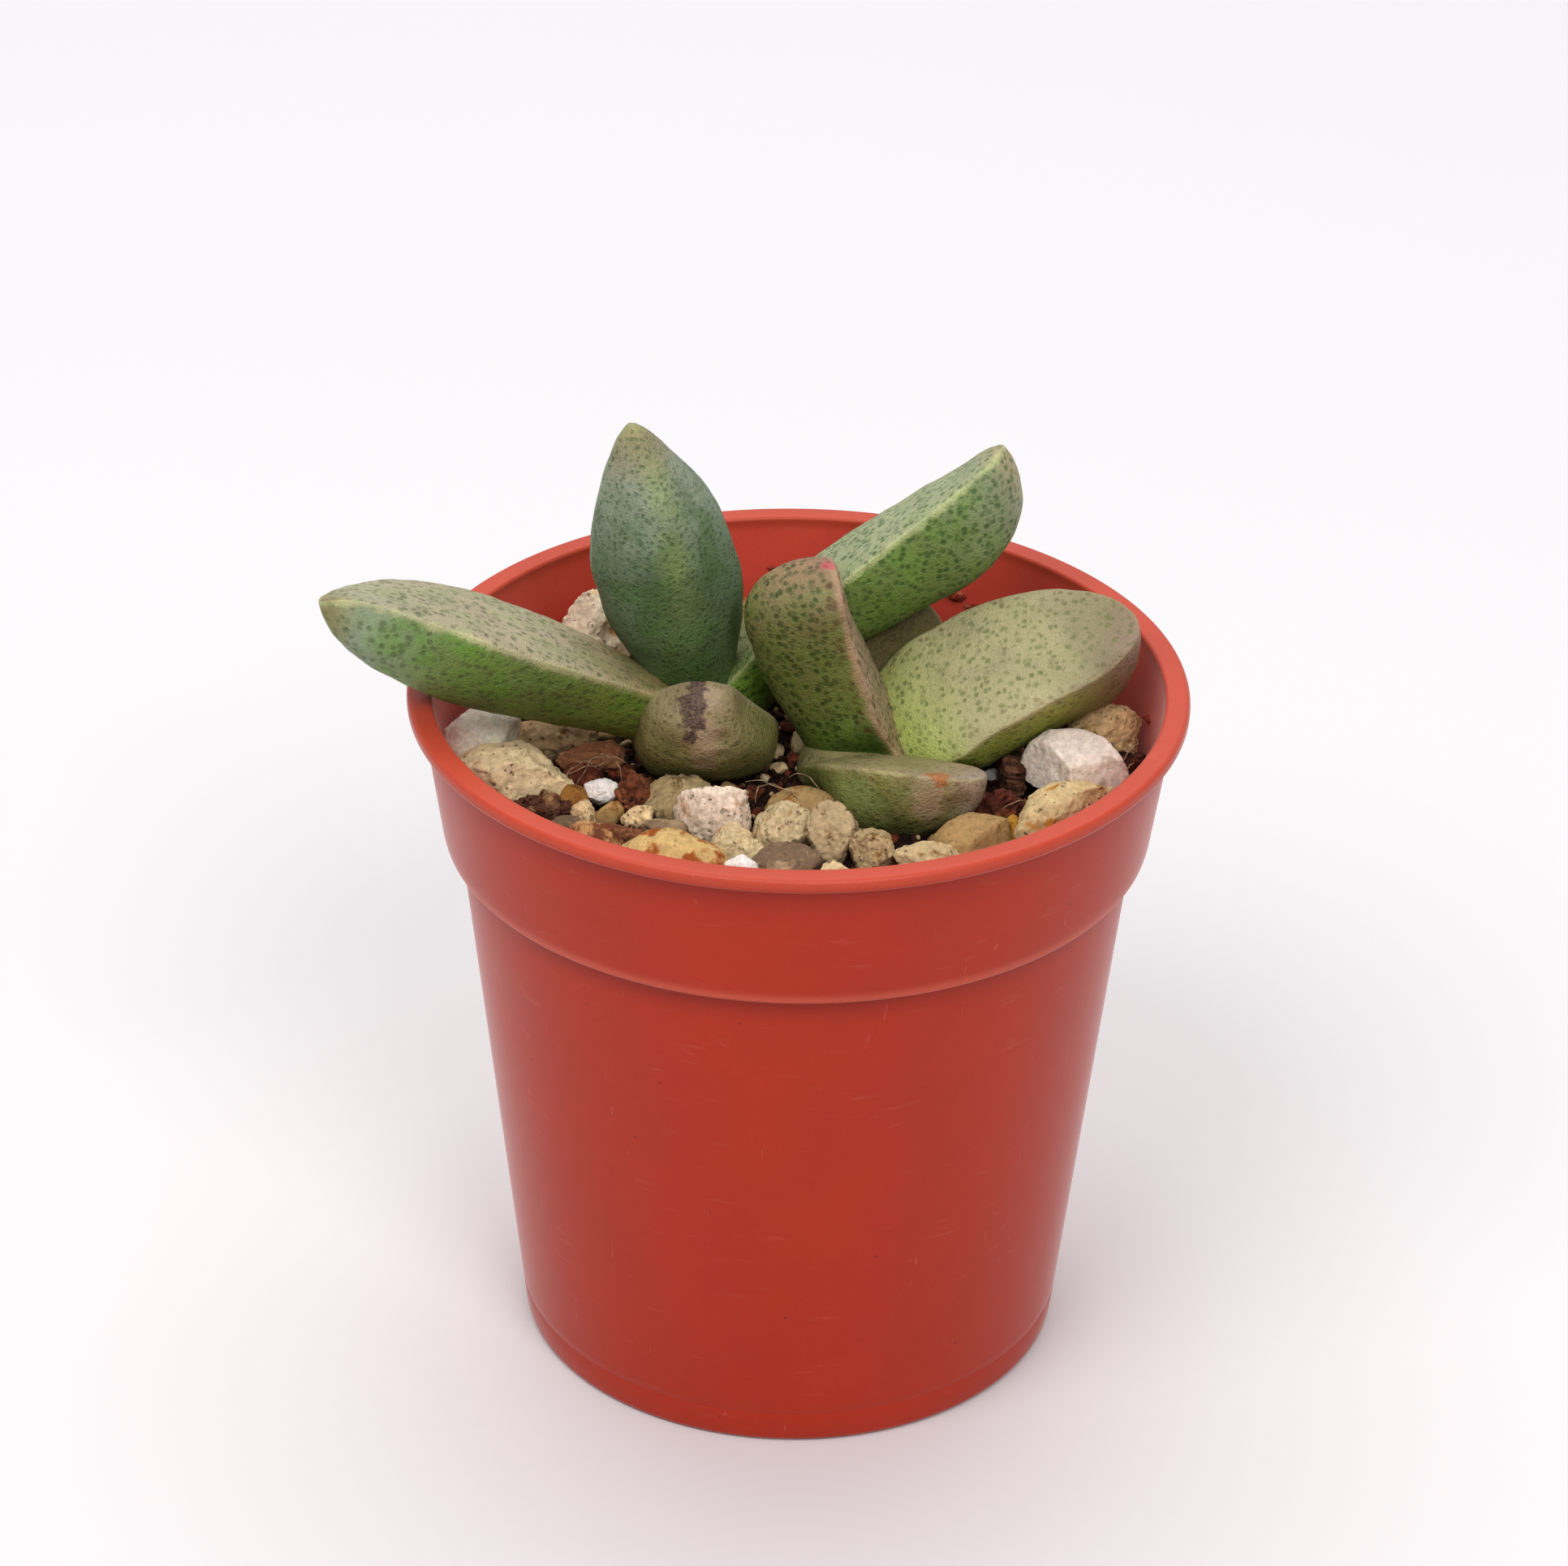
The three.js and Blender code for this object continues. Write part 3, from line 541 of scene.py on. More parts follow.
def mottling_group():
    """Slow patches and fine grain, as a value round one that a colour is multiplied by."""
    group, inside = new_group(
        "Mottling",
        {"Place": "Vector", "Patch Size": 4.0, "Grain Size": 0.3, "Patch Depth": 0.15, "Grain Depth": 0.15},
        {"Shade": "Color", "Patches": "Float", "Grain": "Float"})
    shade = 1.0
    found = {}
    for label, kind, detail, roughness in (("Patches", "Patch", 3.0, 0.5), ("Grain", "Grain", 2.0, 0.6)):
        scale = calculate(group, "DIVIDE", 1.0, inside[f"{kind} Size"])
        found[label] = noise_value(group, inside["Place"], scale, detail, roughness)
        depth = times(group, inside[f"{kind} Depth"], 4.0)
        shade = plus(group, times(group, minus(group, found[label], 0.5), depth), shade)
    add(group, "NodeGroupOutput", {"Shade": shade, **found})
    return group


def leaf_dots_group():
    """The dark window dots of the skin: the skin cuts through little balls scattered in the leaf."""
    group, inside = new_group(
        "Window dots", {"Place": "Vector", "Spacing": 0.55, "Dot Size": 0.42}, {"Dots": "Float"})
    bent = wandering(group, inside["Place"], 3.2, 1.0, 0.25)
    density = calculate(group, "DIVIDE", 1.0, inside["Spacing"])
    cells = add(group, "ShaderNodeTexVoronoi", {"Vector": bent, "Scale": density, "Randomness": 0.9})
    drawn = separate(group, cells.outputs["Color"])
    reach = times(group, inside["Dot Size"], scaled(group, drawn[0], 0.4, 0.8))
    edge = calculate(group, "DIVIDE", cells.outputs["Distance"], reach)
    depth = scaled(group, drawn[1], 0.5, 0.5)
    add(group, "NodeGroupOutput", {"Dots": times(group, step(group, edge, 1.25, 0.4), depth)})
    return group


def stone_grain_group():
    """Grain, stains and pores of a loose stone, and painted shade in its pits and cracks."""
    group, inside = new_group(
        "Stone grain",
        {"Place": "Vector", "Body": (0.5, 0.5, 0.5, 1), "Stain": (0.5, 0.3, 0.1, 1), "Stain Share": 0.3,
         "Pore Color": (0.06, 0.04, 0.02, 1), "Pore Share": 0.5, "Hollow": 0.0},
        {"Color": "Color", "Height": "Float", "Grain": "Float"})
    place = inside["Place"]
    patches = noise_value(group, place, 0.55, 4.0, 0.6)
    limit = scaled(group, inside["Stain Share"], -0.35, 0.68)
    stained = step(group, minus(group, patches, limit), -0.02, 0.1)
    grain = noise_value(group, place, 1.9, 8.0, 0.78)
    color = mix(group, stained, inside["Body"], inside["Stain"])
    color = shaded(group, color, scaled(group, grain, 1.5, 0.25))
    bent = wandering(group, place, 3.0, 2.0, 0.5)
    pores = add(group, "ShaderNodeTexVoronoi", {"Vector": bent, "Scale": 2.3, "Randomness": 1.0})
    drawn = separate(group, pores.outputs["Color"])[0]
    size = times(group, calculate(group, "POWER", drawn, 3.0), 0.36)
    pit = step(group, minus(group, pores.outputs["Distance"], size), 0.1, -0.06)
    pit = times(group, pit, inside["Pore Share"], clamp=True)
    # Pits and cracks take the pore colour: partly the stone's own dark pores, partly painted shade in the
    # hollows
    hollow_pores_and_shade = times(group, inside["Hollow"], 0.7, clamp=True)
    for mask in (pit, hollow_pores_and_shade):
        color = mix(group, mask, color, inside["Pore Color"])
    height = minus(group, times(group, grain, 0.6), pit)
    add(group, "NodeGroupOutput", {"Color": color, "Height": height, "Grain": grain})
    return group


# Materials


def pot_material(settings):
    material, tree, surface = new_material("moulded_plastic")
    place = millimetres(tree)
    height = separate(tree, place)[2]
    inner = attribute(tree, "inner_wall")
    # Painted light: the thin lip is coloured lighter for the light that shines through it and falls on it
    # from above
    lip = step(tree, height, POT_HEIGHT - 1.2, POT_HEIGHT - 0.3)
    # Painted light: the inner wall is coloured lighter than the same plastic outside
    color = mix(tree, inner, tuple(settings.wall_color), tuple(settings.lit_inner_color))
    color = mix(tree, lip, color, tuple(settings.lit_lip_color))
    color = painted_light_bands(tree, color, height, inner)
    mottling = use_group(
        tree, "Mottling", mottling_group,
        {"Place": place, "Patch Size": 7.0, "Grain Size": 0.22, "Patch Depth": 0.05, "Grain Depth": 0.035})
    color = shaded(tree, color, mottling["Shade"])
    smears = noise_value(tree, stretched(tree, place, (0.5, 0.5, 2.6)), 0.5, 3.0, 0.6)
    color = tinted(tree, color, step(tree, smears, 0.6, 0.78), "#cf8a78", 0.1)
    scratches = noise_value(tree, stretched(tree, place, (1.0, 1.0, 0.12)), 2.2, 2.0, 0.4)
    color = tinted(tree, color, step(tree, scratches, 0.735, 0.78), "#dc9a88", 0.12)
    specks = add(tree, "ShaderNodeTexVoronoi", {"Vector": place, "Scale": 0.28, "Randomness": 1.0})
    color = tinted(tree, color, step(tree, specks.outputs["Distance"], 0.045, 0.025), "#6f1c14", 0.6)
    roughness = scaled(tree, mottling["Patches"], 0.12, settings.roughness - 0.06)
    finish_surface(
        tree, surface, color, roughness, noise_value(tree, place, 6.0, 3.0), 0.12, 0.05 * MM,
        Specular_IOR_Level=0.36, Sheen_Weight=0.36, Sheen_Roughness=0.3)
    return material


def painted_light_bands(tree, color, height, inner):
    """A painted highlight along the collar's rounded lower edge, and painted shade in bands under the collar
    and under the lip.
    """
    edge = POT["collar_bottom"]
    lip_low = POT_HEIGHT - POT["lip_thickness"]
    outer = minus(tree, 1.0, inner)
    for low, high, peak, tint, share in (
        # painted highlight on the collar's rounded lower edge
        (edge - 0.1, edge + 1.1, edge + 0.3, "#d07058", 0.4),
        # painted shadow under the collar's overhang
        (edge - 2.6, edge, edge - 0.4, "#8c1c0c", 0.4),
        # painted shade under the lip
        (lip_low - 3.4, lip_low, lip_low - 0.7, "#981f0e", 0.35),
    ):
        band = times(tree, step(tree, height, low, peak), step(tree, height, high, peak))
        color = tinted(tree, color, times(tree, band, outer), tint, share)
    return color


def leaf_material(name, skin, roughness):
    material, tree, surface = new_material(f"skin_{name}")
    place = millimetres(tree)
    along, upper_face, margin, keel, depth = (attribute(tree, f"leaf_{part}") for part in LEAF_FIELDS)
    face_colors = []
    for base, middle, tip in (skin.flank, skin.upper):
        color = mix(tree, step(tree, along, 0.06, 0.42), linear(base), linear(middle))
        face_colors.append(mix(tree, step(tree, along, 0.55, 1.0), color, linear(tip)))
    color = mix(tree, upper_face, *face_colors)
    if skin.zone:
        inner = times(tree, step(tree, depth, 0.35, 0.9), step(tree, along, 0.75, 0.45))
        color = tinted(tree, color, inner, skin.zone, 0.75)
    patches = step(tree, noise_value(tree, place, 0.42, 3.0, 0.6), 0.42, 0.62)
    patches = times(tree, patches, step(tree, along, 0.98, 0.7))
    patches = times(tree, patches, step(tree, upper_face, 0.9, 0.3, 0.3, 1.0))
    color = tinted(tree, color, patches, *skin.patch)
    mottling = use_group(
        tree, "Mottling", mottling_group,
        {"Place": place, "Patch Size": 2.6, "Grain Size": 0.17, "Patch Depth": 0.1 * skin.mottle,
         "Grain Depth": 0.1 * skin.mottle})
    ridge = times(tree, keel, step(tree, along, 0.3, 0.75))
    ridge = times(tree, ridge, step(tree, mottling["Patches"], 0.3, 0.6, 0.35, 1.0))
    color = tinted(tree, color, ridge, *skin.keel_line)
    color = tinted(tree, color, step(tree, along, 0.86, 0.99), *skin.tip_blush)
    spacing, dot_size, dot_share = skin.dotting
    dots = use_group(
        tree, "Window dots", leaf_dots_group,
        {"Place": place, "Spacing": spacing, "Dot Size": dot_size})["Dots"]
    waving = scaled(tree, noise_value(tree, place, 1.1, 3.0), 2.0, -1.0)
    margin = step(tree, plus(tree, margin, waving), 0.35, 1.1)
    dots = times(tree, dots, scaled(tree, margin, -0.8, 1.0))
    dot_color = mix(tree, step(tree, depth, 0.2, 0.04), *(linear(tint) for tint in skin.dots))
    color = mix(tree, times(tree, dots, dot_share), color, dot_color)
    color = tinted(tree, color, times(tree, margin, step(tree, along, 0.08, 0.45, 0.25, 1.0)), *skin.margin)
    color = shaded(tree, color, mottling["Shade"])
    color = leaf_marks(tree, color, place)
    height = plus(tree, times(tree, dots, -0.45), mottling["Grain"])
    rough = scaled(tree, mottling["Grain"], 0.2, roughness - 0.1)
    finish_surface(
        tree, surface, color, rough, height, 0.9, 0.14 * MM, Subsurface_Weight=0.1,
        Subsurface_Radius=(0.5, 1.0, 0.25), Subsurface_Scale=0.7 * MM, Specular_IOR_Level=0.4)
    return material


def leaf_marks(tree, color, place):
    """Scars, scabs and spots, from the mask that each kind leaves on the mesh."""
    ragged = scaled(tree, noise_value(tree, place, 1.5, 4.0, 0.65), 1.6, -0.8)
    flecks = step(tree, noise_value(tree, place, 5.0, 3.0, 0.6), 0.35, 0.6)
    for kind, (tint, share, edge) in MARK_KINDS.items():
        mask = attribute(tree, f"leaf_{kind}")
        worn = times(tree, step(tree, plus(tree, mask, ragged), edge, edge + 0.35), share)
        worn = times(tree, worn, step(tree, mask, 0.02, 0.25))
        shade = mix(tree, flecks, linear(tint), mix(tree, 0.35, linear(tint), color))
        color = mix(tree, worn, color, shade)
    return color


def stone_material(kind):
    """One material for each kind of stone. Each stone's own tints are attributes of its mesh."""
    pore_share, pore_and_shade_color = STONE_PORES_AND_SHADE[kind]
    material, tree, surface = new_material(f"{kind}_stone")
    grain = use_group(
        tree, "Stone grain", stone_grain_group,
        {"Place": millimetres(tree), "Body": attribute(tree, "stone_body", "Color"),
         "Stain": attribute(tree, "stone_stain", "Color"),
         "Stain Share": attribute(tree, "stone_stain_share"),
         "Pore Color": linear(pore_and_shade_color), "Pore Share": pore_share,
         "Hollow": attribute(tree, "stone_hollow")})
    glow = {"Subsurface_Weight": 0.15, "Subsurface_Scale": 0.4 * MM} if kind == "perlite" else {}
    finish_surface(
        tree, surface, grain["Color"], scaled(tree, grain["Grain"], 0.1, 0.82),
        grain["Height"], 1.0, 0.3 * MM,
        Specular_IOR_Level=0.25, **glow)
    return material


def earth_material(name, dark, light, speck, speck_share):
    """Crumbs of soil or grit: two browns and a share of pale specks."""
    material, tree, surface = new_material(name)
    place = millimetres(tree)
    coarse = noise_value(tree, place, 1.1, 4.0, 0.6)
    fine = noise_value(tree, place, 5.5, 4.0, 0.65)
    color = mix(tree, step(tree, coarse, 0.35, 0.65), linear(dark), linear(light))
    color = shaded(tree, color, scaled(tree, fine, 1.1, 0.45))
    cells = add(tree, "ShaderNodeTexVoronoi", {"Vector": place, "Scale": 1.4})
    chosen = separate(tree, cells.outputs["Color"])[0]
    pale = times(tree, step(tree, chosen, 1 - speck_share, 1.02 - speck_share), 0.9)
    color = mix(tree, pale, color, mix(tree, fine, linear(speck), linear(light)))
    finish_surface(
        tree, surface, color, scaled(tree, fine, 0.15, 0.8), fine, 0.7, 0.15 * MM, Specular_IOR_Level=0.2)
    return material


def streaked_material(name, stretch, detail, roughness, edges, tints, gloss, strength, distance):
    """Two tints in soft streaks, as on a stem or a dry root."""
    material, tree, surface = new_material(name)
    fine = noise_value(tree, stretched(tree, millimetres(tree), stretch), 3.0, detail, roughness)
    color = mix(tree, step(tree, fine, *edges), *(linear(tint) for tint in tints))
    finish_surface(tree, surface, color, scaled(tree, fine, *gloss), fine, strength, distance * MM)
    return material


# Mesh helpers


def new_object(name, mesh):
    made = bpy.data.objects.new(name, mesh)
    bpy.context.scene.collection.objects.link(made)
    return made


def mesh_of(name, points, faces, edges=()):
    """A mesh from points in millimetres."""
    mesh = bpy.data.meshes.new(name)
    mesh.from_pydata([tuple(value * MM for value in point) for point in points], edges, faces)
    mesh.update()
    return mesh


def face_out(mesh):
    """Merges doubles and turns the faces outwards."""
    work = bmesh.new()
    work.from_mesh(mesh)
    bmesh.ops.remove_doubles(work, verts=work.verts, dist=DOUBLE_REACH)
    bmesh.ops.recalc_face_normals(work, faces=work.faces)
    work.to_mesh(mesh)
    work.free()
    mesh.update()


def shade_smooth(mesh, sharp_degrees=None):
    mesh.polygons.foreach_set("use_smooth", [True] * len(mesh.polygons))
    if sharp_degrees:
        mesh.set_sharp_from_angle(angle=math.radians(sharp_degrees))


def points_of(mesh):
    values = np.empty(len(mesh.vertices) * 3)
    mesh.vertices.foreach_get("co", values)
    return values.reshape(-1, 3)


def set_points(mesh, points):
    mesh.vertices.foreach_set("co", np.asarray(points, float).ravel())
    mesh.update()


def set_attribute(mesh, name, values, kind="FLOAT"):
    """Stores one value or one colour for each vertex."""
    made = mesh.attributes.new(name, kind, "POINT")
    made.data.foreach_set("value" if kind == "FLOAT" else "color", np.asarray(values, float).ravel())


def relaxed(mesh, rounds):
    """Draws each vertex halfway to the middle of its neighbours, round after round."""
    edges = np.empty(len(mesh.edges) * 2, dtype=np.int64)
    mesh.edges.foreach_get("vertices", edges)
    first, second = edges.reshape(-1, 2).T
    points = points_of(mesh)
    count = np.zeros(len(points))
    np.add.at(count, first, 1)
    np.add.at(count, second, 1)
    for _ in range(rounds):
        total = np.zeros_like(points)
        np.add.at(total, first, points[second])
        np.add.at(total, second, points[first])
        points += (total / np.maximum(count, 1)[:, None] - points) / 2
    set_points(mesh, points)


def evaluated_mesh(made):
    """The object's mesh with its modifiers applied. The object then carries it, with no modifier left."""
    graph = bpy.context.evaluated_depsgraph_get()
    graph.update()
    mesh = bpy.data.meshes.new_from_object(made.evaluated_get(graph), depsgraph=graph)
    mesh.name = made.name
    made.modifiers.clear()
    made.data = mesh
    return mesh


def remeshed(made, voxel):
    """The object's mesh made anew from even faces, their size in millimetres."""
    remesh = made.modifiers.new("Voxels", "REMESH")
    remesh.mode = "VOXEL"
    remesh.voxel_size = voxel * MM
    return evaluated_mesh(made)


def pushed(mesh, heights):
    """Moves each vertex along its normal by a height in millimetres."""
    normals = np.empty(len(mesh.vertices) * 3)
    mesh.vertex_normals.foreach_get("vector", normals)
    set_points(mesh, points_of(mesh) + normals.reshape(-1, 3) * np.asarray(heights)[:, None] * MM)


def dress(made, material, slot, *nodes):
    """Gives a piece its material, hides the nodes that it stands for, and lets it ride on the pot. The slot
    is not used.
    """
    made.data.materials.clear()
    made.data.materials.append(material)
    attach(made, "root")
    if nodes:
        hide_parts(*nodes)


# Geometry Nodes trees


def new_tree(name, inputs):
    """A tree that takes a mesh, its own inputs and a material."""
    sockets = {"Geometry": "Geometry", **inputs, "Material": "Material"}
    return new_group(name, sockets, {"Geometry": "Geometry"}, "GeometryNodeTree")


def finish_tree(tree, geometry, material):
    """Every tree ends the same way: instances made real, then the material."""
    real = add(tree, "GeometryNodeRealizeInstances", {"Geometry": geometry}).outputs[0]
    dressed = add(tree, "GeometryNodeSetMaterial", {"Geometry": real, "Material": material}).outputs[0]
    add(tree, "NodeGroupOutput", {"Geometry": dressed})
    return tree


def tree_input(modifier, label, value):
    """Sets a modifier's input by its socket's identifier."""
    for item in modifier.node_group.interface.items_tree:
        if item.item_type == "SOCKET" and item.in_out == "INPUT" and item.name == label:
            modifier[item.identifier] = value
            return
    raise ValueError(f"{modifier.node_group.name} has no input named {label}")


def made_by_tree(name, mesh, *trees):
    """A new piece: the mesh with each tree run on it in turn. A tree comes with its input values."""
    made = new_object(name, mesh)
    for tree, values in trees:
        modifier = made.modifiers.new(tree.name, "NODES")
        modifier.node_group = tree
        for label, value in values.items():
            tree_input(modifier, label, value)
    evaluated_mesh(made)
    return made


def turned_tree():
    """Turns the points of a profile about the upright axis into a closed surface."""
    tree, inside = new_tree("Turned piece", {"Profile": "Object", "Rows": 12, "Segments": 96})
    profile = add(tree, "GeometryNodeObjectInfo", {"Object": inside["Profile"]}).outputs["Geometry"]
    columns = plus(tree, inside["Segments"], 1.0)
    grid = add(
        tree, "GeometryNodeMeshGrid",
        {"Size X": 1.0, "Size Y": 1.0, "Vertices X": inside["Rows"], "Vertices Y": columns}).outputs["Mesh"]
    index = add(tree, "GeometryNodeInputIndex").outputs[0]
    row = calculate(tree, "FLOOR", calculate(tree, "DIVIDE", plus(tree, index, 0.5), columns))
    column = minus(tree, index, times(tree, row, columns))
    turn = times(tree, calculate(tree, "DIVIDE", column, inside["Segments"]), math.tau)
    place = add(tree, "GeometryNodeInputPosition").outputs[0]
    at_row = add(
        tree, "GeometryNodeSampleIndex", {"Geometry": profile, "Value": place, "Index": row},
        data_type="FLOAT_VECTOR", domain="POINT").outputs[0]
    turned = add(
        tree, "ShaderNodeVectorRotate", {"Vector": at_row, "Angle": turn}, rotation_type="Z_AXIS").outputs[0]
    moved = add(tree, "GeometryNodeSetPosition", {"Geometry": grid, "Position": turned}).outputs[0]
    merged = add(
        tree, "GeometryNodeMergeByDistance", {"Geometry": moved, "Distance": DOUBLE_REACH}).outputs[0]
    return finish_tree(tree, merged, inside["Material"])


def drained_tree():
    """Cuts a ring of round holes through the floor."""
    tree, inside = new_tree("Drain holes", {"Count": 6, "Radius": 0.002, "Circle": 0.0116, "Depth": 0.01})
    ring = add(
        tree, "GeometryNodeMeshCircle", {"Vertices": inside["Count"], "Radius": inside["Circle"]}).outputs[0]
    drill = add(
        tree, "GeometryNodeMeshCylinder",
        {"Vertices": 40, "Radius": inside["Radius"], "Depth": inside["Depth"]}).outputs["Mesh"]
    drills = add(tree, "GeometryNodeInstanceOnPoints", {"Points": ring, "Instance": drill}).outputs[0]
    real = add(tree, "GeometryNodeRealizeInstances", {"Geometry": drills}).outputs[0]
    cut = add(
        tree, "GeometryNodeMeshBoolean", {"Mesh 1": inside["Geometry"], "Mesh 2": real},
        operation="DIFFERENCE", solver="EXACT").outputs[0]
    return finish_tree(tree, cut, inside["Material"])


def drawn_for_each(tree, low, high, seed, kind="FLOAT_VECTOR"):
    """A random vector or number for each point, between the low and the high one."""
    first_input, output = {"FLOAT_VECTOR": (0, 0), "FLOAT": (2, 1)}[kind]
    sockets = {first_input: low, first_input + 1: high, "Seed": seed}
    return add(tree, "FunctionNodeRandomValue", sockets, data_type=kind).outputs[output]


def grit_tree():
    """Scatters rough little grains over a surface."""
    tree, inside = new_tree(
        "Grit", {"Spacing": 0.0007, "Density": 1e6, "Smallest": 0.0002, "Largest": 0.0005, "Seed": 3})
    seed = inside["Seed"]
    spread = add(
        tree, "GeometryNodeDistributePointsOnFaces",
        {"Mesh": inside["Geometry"], "Distance Min": inside["Spacing"], "Density Max": inside["Density"],
         "Seed": seed},
        distribute_method="POISSON")
    grain = add(tree, "GeometryNodeMeshIcoSphere", {"Radius": 1.0, "Subdivisions": 2}).outputs["Mesh"]
    size = drawn_for_each(tree, inside["Smallest"], inside["Largest"], seed, "FLOAT")
    stretch = drawn_for_each(tree, (0.6, 0.6, 0.5), (1.4, 1.0, 0.9), seed)
    spin = drawn_for_each(tree, (0.0, 0.0, 0.0), (math.tau, math.tau, math.tau), seed)
    grains = add(
        tree, "GeometryNodeInstanceOnPoints",
        {"Points": spread.outputs["Points"], "Instance": grain, "Rotation": spin,
         "Scale": lengthened(tree, stretch, size)}).outputs[0]
    real = add(tree, "GeometryNodeRealizeInstances", {"Geometry": grains}).outputs[0]
    place = add(tree, "GeometryNodeInputPosition").outputs[0]
    rough = add(tree, "ShaderNodeTexNoise", {"Vector": place, "Scale": 1900.0, "Detail": 1.0}).outputs[0]
    push = times(tree, minus(tree, rough, 0.5), times(tree, inside["Largest"], 1.1))
    offset = lengthened(tree, add(tree, "GeometryNodeInputNormal").outputs[0], push)
    shaped = add(tree, "GeometryNodeSetPosition", {"Geometry": real, "Offset": offset}).outputs[0]
    return finish_tree(tree, shaped, inside["Material"])


def fibre_tree():
    """Gives every line of a mesh a thin round body that narrows towards its ends."""
    tree, inside = new_tree("Fibres", {"Radius": 0.00005})
    line = add(tree, "GeometryNodeMeshToCurve", {"Mesh": inside["Geometry"]}).outputs[0]
    along = add(tree, "GeometryNodeSplineParameter").outputs["Factor"]
    from_middle = calculate(tree, "ABSOLUTE", minus(tree, along, 0.5))
    section = add(tree, "GeometryNodeCurvePrimitiveCircle", {"Resolution": 7, "Radius": inside["Radius"]})
    body = add(
        tree, "GeometryNodeCurveToMesh",
        {"Curve": line, "Profile Curve": section.outputs[0], "Fill Caps": True,
         "Scale": step(tree, from_middle, 0.5, 0.2, 0.35, 1.0)})
    return finish_tree(tree, body.outputs[0], inside["Material"])


# Pot


def body_radius(height):
    return POT["foot_radius"] + (POT["body_radius"] - POT["foot_radius"]) * height / POT["collar_bottom"]


def collar_radius(height):
    top = POT_HEIGHT - POT["lip_thickness"]
    share = (height - POT["collar_bottom"]) / (top - POT["collar_bottom"])
    return POT["collar_foot_radius"] + (POT["collar_top_radius"] - POT["collar_foot_radius"]) * share


def arc(centre, radius, start, end, steps=8):
    """Points of an arc in the profile's plane, its angles in degrees."""
    turns = [math.radians(start + (end - start) * i / steps) for i in range(steps + 1)]
    return [(centre[0] + radius * math.cos(turn), centre[1] + radius * math.sin(turn)) for turn in turns]


def straight(start, end, steps):
    return [tuple(a + (b - a) * i / steps for a, b in zip(start, end)) for i in range(steps + 1)]


def pot_profile():
    """The outline of the pot's wall, from the middle of its underside round to the middle of its floor."""
    wall = POT["wall"]
    channel, slope = POT["channel_height"], POT["channel_slope"]
    collar_low = POT["collar_bottom"]
    lip_low = POT_HEIGHT - POT["lip_thickness"]
    lip_round = 0.42
    inner_round = 0.3
    ledge = collar_low + wall
    lip_inner = collar_radius(lip_low) - wall
    line = POT["foot_line"]
    dent = POT["foot_line_depth"]
    floor = POT["floor_top"]
    points = [(0, 0)]
    points += straight((POT["channel_inner"], 0), (POT["channel_inner"] + slope, channel), 3)
    points += straight((POT["channel_outer"] - slope, channel), (POT["channel_outer"], 0), 3)
    points += arc((POT["foot_radius"] - 0.55, 0.6), 0.6, -90, -6)
    points += [(body_radius(line - 0.3), line - 0.3), (body_radius(line - 0.1) - dent, line - 0.1)]
    points += [(body_radius(line + 0.1) - dent, line + 0.1), (body_radius(line + 0.3), line + 0.3)]
    points += straight((body_radius(3.4), 3.4), (POT["body_radius"], collar_low - 0.15), 24)
    points += arc((POT["body_radius"] + 0.15, collar_low - 0.15), 0.15, 180, 90, 4)
    points += arc((POT["collar_foot_radius"] - 0.35, collar_low + 0.35), 0.35, -90, 0)
    points += straight(
        (collar_radius(collar_low + 0.7), collar_low + 0.7), (collar_radius(lip_low - 0.5), lip_low - 0.5), 8)
    points += arc((collar_radius(lip_low) + 0.28, lip_low - 0.3), 0.3, 180, 90, 5)
    points += arc((LIP_RADIUS - lip_round, lip_low + lip_round), lip_round, -90, 0)
    points += arc((LIP_RADIUS - lip_round, POT_HEIGHT - lip_round), lip_round, 0, 90)
    points += arc((lip_inner + inner_round, POT_HEIGHT - inner_round), inner_round, 90, 180)
    points += straight((lip_inner, POT_HEIGHT - 0.6), (collar_radius(ledge) - wall, ledge + 0.1), 8)
    points += arc((body_radius(ledge) - wall + 0.2, ledge - 0.2), 0.2, 90, 180, 4)
    points += straight(
        (body_radius(ledge - 0.4) - wall, ledge - 0.4), (body_radius(floor + 0.7) - wall, floor + 0.7), 16)
    points += arc((body_radius(floor) - wall - 0.6, floor + 0.6), 0.6, 0, -90)
    points += [(0, floor)]
    return [(max(0.0, radius), height) for radius, height in points]


def turned_piece(name, profile, segments, material, *more_trees):
    points = [(radius, 0, height) for radius, height in profile]
    outline = new_object(f"{name}_profile", mesh_of(f"{name}_profile", points, []))
    tree = shared_group("Turned piece", turned_tree)
    values = {"Profile": outline, "Rows": len(profile), "Segments": segments, "Material": material}
    made = made_by_tree(name, bpy.data.meshes.new(name), (tree, values), *more_trees)
    bpy.data.objects.remove(outline)
    face_out(made.data)
    return made


class PLANT_OT_make_pot(bpy.types.Operator):
    """Turn the thin-walled pot with its collar, its rolled lip and its drained floor"""

    bl_idname = "plant.make_pot"
    bl_label = "Make Pot"

    def execute(self, context):
        settings = context.scene.plant_pot
        material = pot_material(settings)
        drains = shared_group("Drain holes", drained_tree)
        drain_values = {
            "Count": settings.drain_count, "Radius": settings.drain_radius, "Circle": settings.drain_circle,
            "Depth": 6 * POT["floor_top"] * MM, "Material": material,
        }
        pot = turned_piece("moulded_pot", pot_profile(), settings.segments, material, (drains, drain_values))
        mark_inner_wall(pot.data)
        shade_smooth(pot.data, 38)
        dress(pot, material, "pot", "pot")
        return {"FINISHED"}


